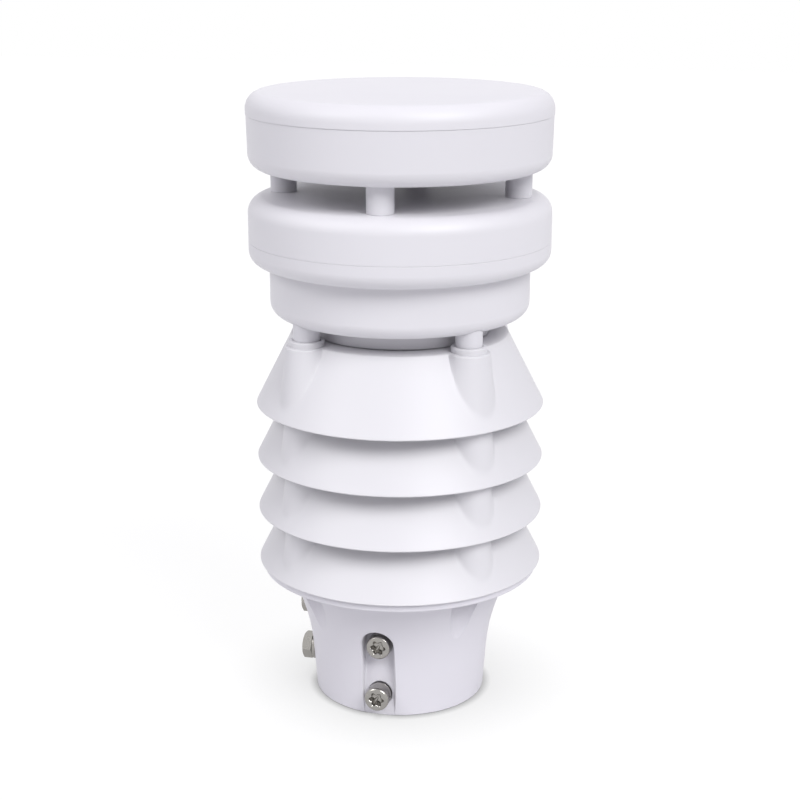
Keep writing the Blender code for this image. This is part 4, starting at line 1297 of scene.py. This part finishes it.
    def groove_rim(self, arch: float) -> list[tuple[Point, Point]]:
        """The groove's outline seen from outside.

        Args:
            arch: The height at which the half-round top springs.

        Returns:
            Points (across, up) with the direction that faces out of the groove at each.
        """
        half, steps = self.groove_width / 2, Facets.SMALL.value // 2
        below = -half
        rows = [below + (arch - below) * step / steps for step in range(steps)]
        rim: list[tuple[Point, Point]] = [((half, row), (1.0, 0.0)) for row in rows]
        for step in range(steps + 1):
            turn = math.pi * step / steps
            cosine, sine = math.cos(turn), math.sin(turn)
            rim.append(((half * cosine, arch + half * sine), (cosine, sine)))
        rim += [((-half, row), (-1.0, 0.0)) for row in reversed(rows)]
        return rim

    def groove(self, raised: float) -> bpy.types.Mesh:
        """The cutter for a clamp groove, with a rounded root and an edge that rolls out to the wall.

        Its floor leans, so that the groove and both of its rounds run out at the foot.

        Args:
            raised: How much higher this groove is than the front one.

        Returns:
            The cutter, in the groove's own frame.
        """
        rim = self.groove_rim(self.groove_top - self.groove_width / 2 + raised)
        turns = [math.pi / 2 * step / self.groove_steps for step in range(self.groove_steps + 1)]
        shape = bmesh.new()
        columns: list[list[bmesh.types.BMVert]] = []
        for (across, up), (side, rise) in rim:
            floor = self.groove_foot - self.groove_lean * up
            wall = math.sqrt(self.wall_radius(max(up, 0.0)) ** 2 - across**2)
            deep = max(wall - floor, self.groove_least)
            root = min(self.groove_root, deep * self.groove_share)
            edge = min(self.groove_edge, deep * self.groove_share)
            points = []
            for turn in turns:
                shift = -root * (1.0 - math.sin(turn))
                depth = self.groove_foot - self.groove_lean * (up + shift * rise)
                points.append((shift, depth + root * (1.0 - math.cos(turn))))
            for turn in turns:
                shift = edge * (1.0 - math.cos(turn))
                x, z = across + shift * side, max(up + shift * rise, 0.0)
                surface = max(math.sqrt(self.wall_radius(z) ** 2 - x**2), floor + deep)
                points.append((shift, surface - edge * (1.0 - math.sin(turn))))
            points.append((edge, self.flange_radius))
            columns.append([
                shape.verts.new((across + shift * side, up + shift * rise, depth)) for shift, depth in points
            ])
        rows = [list(row) for row in zip(*columns)]
        for row, following in zip(rows, rows[1:]):
            bridge(shape, row, following)
        shape.faces.new(rows[0])
        shape.faces.new(rows[-1])
        return closed_mesh("groove", shape)

    def bar_pocket(self, side: ClampSide) -> bpy.types.Mesh:
        """The cutter for the pocket of a thread bar, open to the mast bore.

        Args:
            side: Which groove the bar is behind.

        Returns:
            The cutter, in the frame's own axes.
        """
        low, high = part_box(f"{side.name.lower()}_thread_bar")
        inward = side.axes().to_3x3() @ Vector((0.0, 0.0, -self.mast_bore / 2))
        slack = Vector((self.fit,) * 3)
        ends = [low - slack, high + slack, low - slack + inward, high + slack + inward]
        lowest = Vector([min(end[axis] for end in ends) for axis in range(3)])
        highest = Vector([max(end[axis] for end in ends) for axis in range(3)])
        shape = bmesh.new()
        bmesh.ops.create_cube(shape, size=1.0)
        for vertex in shape.verts:
            share = vertex.co + Vector((0.5, 0.5, 0.5))
            vertex.co = lowest + Vector(share[axis] * (highest - lowest)[axis] for axis in range(3))
        return closed_mesh("bar_pocket", shape)

    def clamp_bores(self, side: ClampSide) -> list[bpy.types.Mesh]:
        """The cutters for a groove's two screw holes, each with a flat seat for its washer.

        Args:
            side: Which groove they are in.

        Returns:
            One cutter for each screw.
        """
        name, kind = side.name.lower(), side.kind()
        seats = {
            ClampSide.FRONT: {"lower": self.front_lower_seat, "upper": self.front_upper_seat},
            ClampSide.SIDE: {"lower": self.side_seat, "upper": self.side_seat},
        }
        bores = []
        for level, seat in seats[side].items():
            low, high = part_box(f"{name}_washer_{level}")
            face = (high - low).dot(side.axes().to_3x3() @ Vector((1.0, 0.0, 0.0)))
            radius = abs(face) / 2 + self.seat_slack
            outline = [
                (0.0, self.flange_radius),
                (radius, self.flange_radius),
                (radius, seat),
                (self.clamp_hole, seat),
                (self.clamp_hole, self.mast_bore / 2),
                (0.0, self.mast_bore / 2),
            ]
            height = middle_of(f"{name}_clamp_{kind}_{level}").z
            mesh = turned(f"{name}_bore_{level}", outline, Facets.MEDIUM.value)
            mesh.transform(Matrix.Translation((0.0, 0.0, height)) @ side.axes())
            bores.append(mesh)
        return bores

    def pocket_outline(self) -> list[Point]:
        """The outline of a corner pocket's round cutter, on its own axis."""
        top = self.flange_height + self.fit
        return [(0.0, top), (self.pocket_radius, top), (self.pocket_radius, 0.0), (0.0, 0.0)]

    def build(self) -> None:
        """Fits the plate, then carves and fits the socket."""
        self.plate()
        carving = Carving("socket", self.sleeve())
        pocket = turned("pocket", self.pocket_outline(), Facets.MEDIUM.value)
        share = 1.0 + self.pocket_outset / self.shield.boss_circle
        spots = [Matrix.Translation(corner.translation * share) for corner in self.shield.corners]
        carving.cut(repeated("pockets", pocket, spots))
        for side in ClampSide:
            raised = middle_of(f"{side.name.lower()}_clamp_{side.kind()}_lower").z - self.front_low
            carving.cut(repeated("groove", self.groove(raised), [side.axes()]))
            for bore in self.clamp_bores(side):
                carving.cut(bore)
            carving.cut(self.bar_pocket(side))
        self.workshop.fit("flared_socket", carving.finished(), "mast_socket", smooth=self.edge_angle)


@dataclass
class ClampScrews:
    """The socket-head screws in front, the hexagon bolts at the side, and their washers."""

    workshop: Workshop
    head_radius: float = 5.0 * MM
    head_height: float = 6.0 * MM
    head_fillet: float = 1.1 * MM
    seat_fillet: float = 0.3 * MM
    key_radius: float = 2.55 * MM
    key_lobe: float = 0.45 * MM
    key_lobes: int = 6
    key_depth: float = 4.0 * MM
    key_lead: float = 0.3 * MM
    drill_point: float = 0.9 * MM
    screw_length: float = 12.0 * MM
    hex_sides: int = 6
    hex_radius: float = 5.77 * MM
    hex_height: float = 4.0 * MM
    hex_chamfer: float = 0.9 * MM
    hex_length: float = 16.0 * MM
    thread_radius: float = 2.9 * MM
    thread_depth: float = 0.35 * MM
    thread_pitch: float = 1.0 * MM
    plain_shank: float = 2.0 * MM
    washer_bore: float = 3.25 * MM
    washer_fillet: float = 0.25 * MM

    def thread(self, length: float) -> list[Point]:
        """The outline of a shank from under the head to its tip.

        Args:
            length: How far the shank reaches below its head's seat.

        Returns:
            Points (radius, height), with a groove for each turn of the thread.
        """
        points: list[Point] = [(self.thread_radius, 0.0), (self.thread_radius, -self.plain_shank)]
        depth = self.plain_shank
        while depth + self.thread_pitch < length:
            points.append((self.thread_radius - self.thread_depth, -depth - self.thread_pitch / 2))
            points.append((self.thread_radius, -depth - self.thread_pitch))
            depth += self.thread_pitch
        tip = self.thread_radius - 2 * self.thread_depth
        return [*points[:-1], (tip, -length), (0.0, -length)]

    def cap_screw(self) -> bpy.types.Mesh:
        """A socket-head screw along +Z, its seat at zero.

        Returns:
            The screw's mesh.
        """
        outline = rounded([
            (0.0, self.head_height),
            (self.head_radius, self.head_height, self.head_fillet),
            (self.head_radius, 0.0, self.seat_fillet),
            *self.thread(self.screw_length),
        ])
        carving = Carving("cap_screw", turned("cap_screw_blank", outline, Facets.MEDIUM.value))
        carving.cut(self.star_key())
        return carving.finished()

    def star_key(self) -> bpy.types.Mesh:
        """The cutter for a cap screw's six-lobed key socket, with a lead at its mouth and a drilled floor.

        Returns:
            The cutter, on the screw's axis.
        """
        top, floor = self.head_height, self.head_height - self.key_depth
        levels = [
            (top + self.key_lead, 2 * self.key_lead),
            (top, self.key_lead),
            (top - self.key_lead, 0.0),
            (floor, 0.0),
        ]
        shape = bmesh.new()
        angles = [2 * math.pi * step / Facets.MEDIUM.value for step in range(Facets.MEDIUM.value)]
        rings = []
        for height, spread in levels:
            ring = []
            for angle in angles:
                radius = self.key_radius + self.key_lobe * math.cos(self.key_lobes * angle) + spread
                ring.append(shape.verts.new((radius * math.cos(angle), radius * math.sin(angle), height)))
            rings.append(ring)
        rings.append(ring_of(shape, 0.0, floor - self.drill_point, 1))
        for ring, following in zip(rings, rings[1:]):
            bridge(shape, ring, following)
        shape.faces.new(rings[0])
        return closed_mesh("star_key", shape)

    def hex_bolt(self) -> bpy.types.Mesh:
        """A hexagon-head bolt along +Z, its seat at zero.

        Returns:
            The bolt's mesh.
        """
        reach = self.hex_radius + self.hex_chamfer
        head = [
            (0.0, self.hex_height),
            (self.hex_radius, self.hex_height),
            (self.hex_radius, 0.0),
            (0.0, 0.0),
        ]
        dome = [
            (0.0, self.hex_height),
            (self.hex_radius - self.hex_chamfer, self.hex_height),
            (reach, self.hex_height - self.hex_chamfer),
            (reach, -self.hex_chamfer),
            (0.0, -self.hex_chamfer),
        ]
        shank = [(0.0, self.hex_height / 2), (self.thread_radius, self.hex_height / 2)]
        carving = Carving("hex_bolt", turned("hexagon_head", head, self.hex_sides))
        carving.keep(turned("hexagon_dome", dome, Facets.MEDIUM.value))
        carving.add(turned("shank", [*shank, *self.thread(self.hex_length)], Facets.SMALL.value))
        return carving.finished()

    def washer(self, radius: float, thickness: float) -> bpy.types.Mesh:
        """A stamped washer along +Z, its lower face at zero.

        Args:
            radius: Its outer radius.
            thickness: Its thickness.

        Returns:
            The washer's mesh.
        """
        outline = rounded([
            (self.washer_bore, thickness),
            (radius, thickness, self.washer_fillet),
            (radius, 0.0, self.washer_fillet),
            (self.washer_bore, 0.0),
        ])
        return turned("washer", outline, Facets.MEDIUM.value)

    def build(self) -> None:
        """Fits the screws, bolts and washers where the frame has them."""
        kinds = {
            ClampSide.FRONT: (self.cap_screw(), self.head_height),
            ClampSide.SIDE: (self.hex_bolt(), self.hex_height),
        }
        for side, (mesh, head) in kinds.items():
            name, kind = side.name.lower(), side.kind()
            axes = side.axes()
            out = axes.to_3x3() @ Vector((0.0, 0.0, 1.0))
            for level in ("lower", "upper"):
                node = f"{name}_clamp_{kind}_{level}"
                face = max(corner.dot(out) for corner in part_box(node))
                height = Vector((0.0, 0.0, middle_of(node).z))
                seat = Matrix.Translation(out * (face - head) + height) @ axes
                self.workshop.fit(f"{name}_{kind}_{level}", mesh, node, seat)
                washer_node = f"{name}_washer_{level}"
                low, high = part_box(washer_node)
                depths = sorted((low.dot(out), high.dot(out)))
                ring = self.washer((high.z - low.z) / 2, depths[1] - depths[0])
                place = Matrix.Translation(out * depths[0] + height) @ axes
                self.workshop.fit(f"{name}_ring_{level}", ring, washer_node, place)


@dataclass(frozen=True)
class SoftSun:
    """A far, broad light, which falls evenly on the whole floor."""

    name: str
    bearing: float
    elevation: float
    spread: float
    strength: float

    def build(self) -> None:
        """Adds the light, shining from its bearing and elevation in degrees."""
        data = bpy.data.lights.new(self.name, "SUN")
        data.angle = math.radians(self.spread)
        data.energy = self.strength
        thing = bpy.data.objects.new(self.name, data)
        bpy.context.scene.collection.objects.link(thing)
        tip = math.radians(QUARTER_TURN - self.elevation)
        thing.rotation_euler = (tip, 0.0, math.radians(self.bearing))


@dataclass
class Studio:
    """The camera, the lights, and the white floor and background."""

    lens: float = 75.96
    sensor_width: float = 36.0
    distance: float = 661.2 * MM
    camera_height: float = 313.3 * MM
    camera_bearing: float = 13.93
    camera_pitch: float = 16.0
    floor_size: float = 6.0
    floor_drop: float = 0.05 * MM
    floor_colour: Colour = (0.78, 0.78, 0.78)
    floor_shade: Colour = (0.12, 0.12, 0.12)
    floor_glow: float = 0.9
    # A painted soft shadow and a painted dark line along the foot, which darken the floor's glow near the
    # station.
    painted_soft_shadow_reach: float = 45.0 * MM
    painted_soft_shadow_depth: float = 0.4
    painted_foot_line_reach: float = 4.0 * MM
    painted_foot_line_depth: float = 0.9
    painted_shadow_samples: int = 16
    sky: float = 0.78
    sky_foot: float = 0.1
    sky_colour: Colour = (0.97, 0.95, 1.05)
    suns: tuple[SoftSun, ...] = (
        SoftSun("right_sun", 49.0, 41.0, 30.0, 2.04),
        SoftSun("left_sun", -50.0, 40.0, 30.0, 0.92),
    )

    def camera(self) -> None:
        """Sets the camera at the photograph's viewing angle."""
        data = bpy.data.cameras.new("camera")
        data.lens = self.lens
        data.sensor_width = self.sensor_width
        thing = bpy.data.objects.new("camera", data)
        bpy.context.scene.collection.objects.link(thing)
        bearing = math.radians(self.camera_bearing)
        thing.location = (
            self.distance * math.sin(bearing),
            -self.distance * math.cos(bearing),
            self.camera_height,
        )
        thing.rotation_euler = (math.radians(QUARTER_TURN - self.camera_pitch), 0.0, bearing)
        bpy.context.scene.camera = thing

    @staticmethod
    def seen(wiring: Wiring) -> bpy.types.NodeSocket:
        """Whether a ray comes from the camera, a reflection or glass.

        Args:
            wiring: The tree to place the nodes in.

        Returns:
            A socket that is 1 for such a ray.
        """
        path = wiring.node("ShaderNodeLightPath").outputs
        mirrored = wiring.maths("MAXIMUM", path["Is Glossy Ray"], path["Is Transmission Ray"])
        return wiring.maths("MAXIMUM", path["Is Camera Ray"], mirrored)

    def painted_cover_shadow(self, wiring: Wiring, reach: float, depth: float) -> bpy.types.NodeSocket:
        """The painted soft shadow on the floor around whatever stands on it, from how much of the space
        nearby is covered.

        Args:
            wiring: The tree to place the nodes in.
            reach: How far the shadow spreads.
            depth: How much it darkens the floor's glow where all is covered.

        Returns:
            A socket that is 1 on the open floor.
        """
        cover = wiring.node("ShaderNodeAmbientOcclusion", {"samples": self.painted_shadow_samples}, Distance=reach)
        return wiring.spread(cover.outputs["AO"], 1.0 - depth, 1.0)

    def floor_finish(self) -> bpy.types.Material:
        """The floor's white, which keeps the station's lamp shadow, adds a painted soft shadow and a painted
        dark line around the foot, and is clear when seen from below.

        Returns:
            The material.
        """
        material = bpy.data.materials.new("white_floor")
        material.use_nodes = True
        wiring = Wiring(material.node_tree)
        material.node_tree.nodes.remove(material.node_tree.nodes["Principled BSDF"])
        matte = wiring.node("ShaderNodeBsdfDiffuse", Color=(*self.floor_colour, 1.0))
        shade = wiring.node("ShaderNodeBsdfDiffuse", Color=(*self.floor_shade, 1.0))
        # The glow that the camera sees is darkened by a painted soft shadow around the station and a painted
        # dark line along its foot.
        soft_shadow_paint = self.painted_cover_shadow(wiring, self.painted_soft_shadow_reach, self.painted_soft_shadow_depth)
        foot_line_paint = self.painted_cover_shadow(wiring, self.painted_foot_line_reach, self.painted_foot_line_depth)
        strength = wiring.maths("MULTIPLY", wiring.maths("MULTIPLY", soft_shadow_paint, foot_line_paint), self.floor_glow)
        glow = wiring.node("ShaderNodeEmission", Strength=strength)
        both = wiring.node("ShaderNodeAddShader")
        wiring.feed(both.inputs[0], shade.outputs[0])
        wiring.feed(both.inputs[1], glow.outputs[0])
        seen = self.seen(wiring)
        whole = wiring.choice(seen, matte, both)
        below = wiring.maths("MULTIPLY", seen, wiring.node("ShaderNodeNewGeometry").outputs["Backfacing"])
        open_below = wiring.choice(below, whole, wiring.node("ShaderNodeBsdfTransparent"))
        wiring.feed(material.node_tree.nodes["Material Output"].inputs["Surface"], open_below.outputs[0])
        return material

    def floor(self) -> None:
        """Lays the floor just under the station's foot."""
        shape = bmesh.new()
        bmesh.ops.create_grid(shape, x_segments=1, y_segments=1, size=self.floor_size / 2)
        mesh = bpy.data.meshes.new("floor")
        shape.to_mesh(mesh)
        shape.free()
        mesh.materials.append(self.floor_finish())
        floor = bpy.data.objects.new("floor", mesh)
        bpy.context.scene.collection.objects.link(floor)
        floor.location = (0.0, 0.0, -self.floor_drop)

    def background(self) -> None:
        """Sets the light from the sky, brightest overhead, and the white that the camera sees behind."""
        world = bpy.data.worlds.new("studio")
        world.use_nodes = True
        bpy.context.scene.world = world
        wiring = Wiring(world.node_tree)
        direction = wiring.node("ShaderNodeTexCoord").outputs["Generated"]
        rise = wiring.node("ShaderNodeSeparateXYZ", Vector=direction).outputs["Z"]
        seen = self.seen(wiring)
        strength = wiring.spread(seen, wiring.spread(rise, self.sky_foot, self.sky), 1.0)
        colour = wiring.mixed(seen, (*self.sky_colour, 1.0), (1.0, 1.0, 1.0, 1.0))
        shade = world.node_tree.nodes["Background"]
        wiring.feed(shade.inputs["Color"], colour)
        wiring.feed(shade.inputs["Strength"], strength)

    def build(self) -> None:
        """Sets up the studio."""
        bpy.context.scene.view_settings.view_transform = "Standard"
        self.camera()
        self.floor()
        self.background()
        for sun in self.suns:
            sun.build()


def main() -> None:
    """Loads the frame, dresses it and sets up the studio."""
    logging.basicConfig(level=logging.INFO)
    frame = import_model()
    workshop = Workshop(frame)
    workshop.dress_frame()
    WindHead(workshop).build()
    shield = SensorShield(workshop)
    shield.build()
    MastSocket(workshop, shield).build()
    ClampScrews(workshop).build()
    Studio().build()
    bpy.context.view_layer.update()


if __name__ == "__main__":
    main()
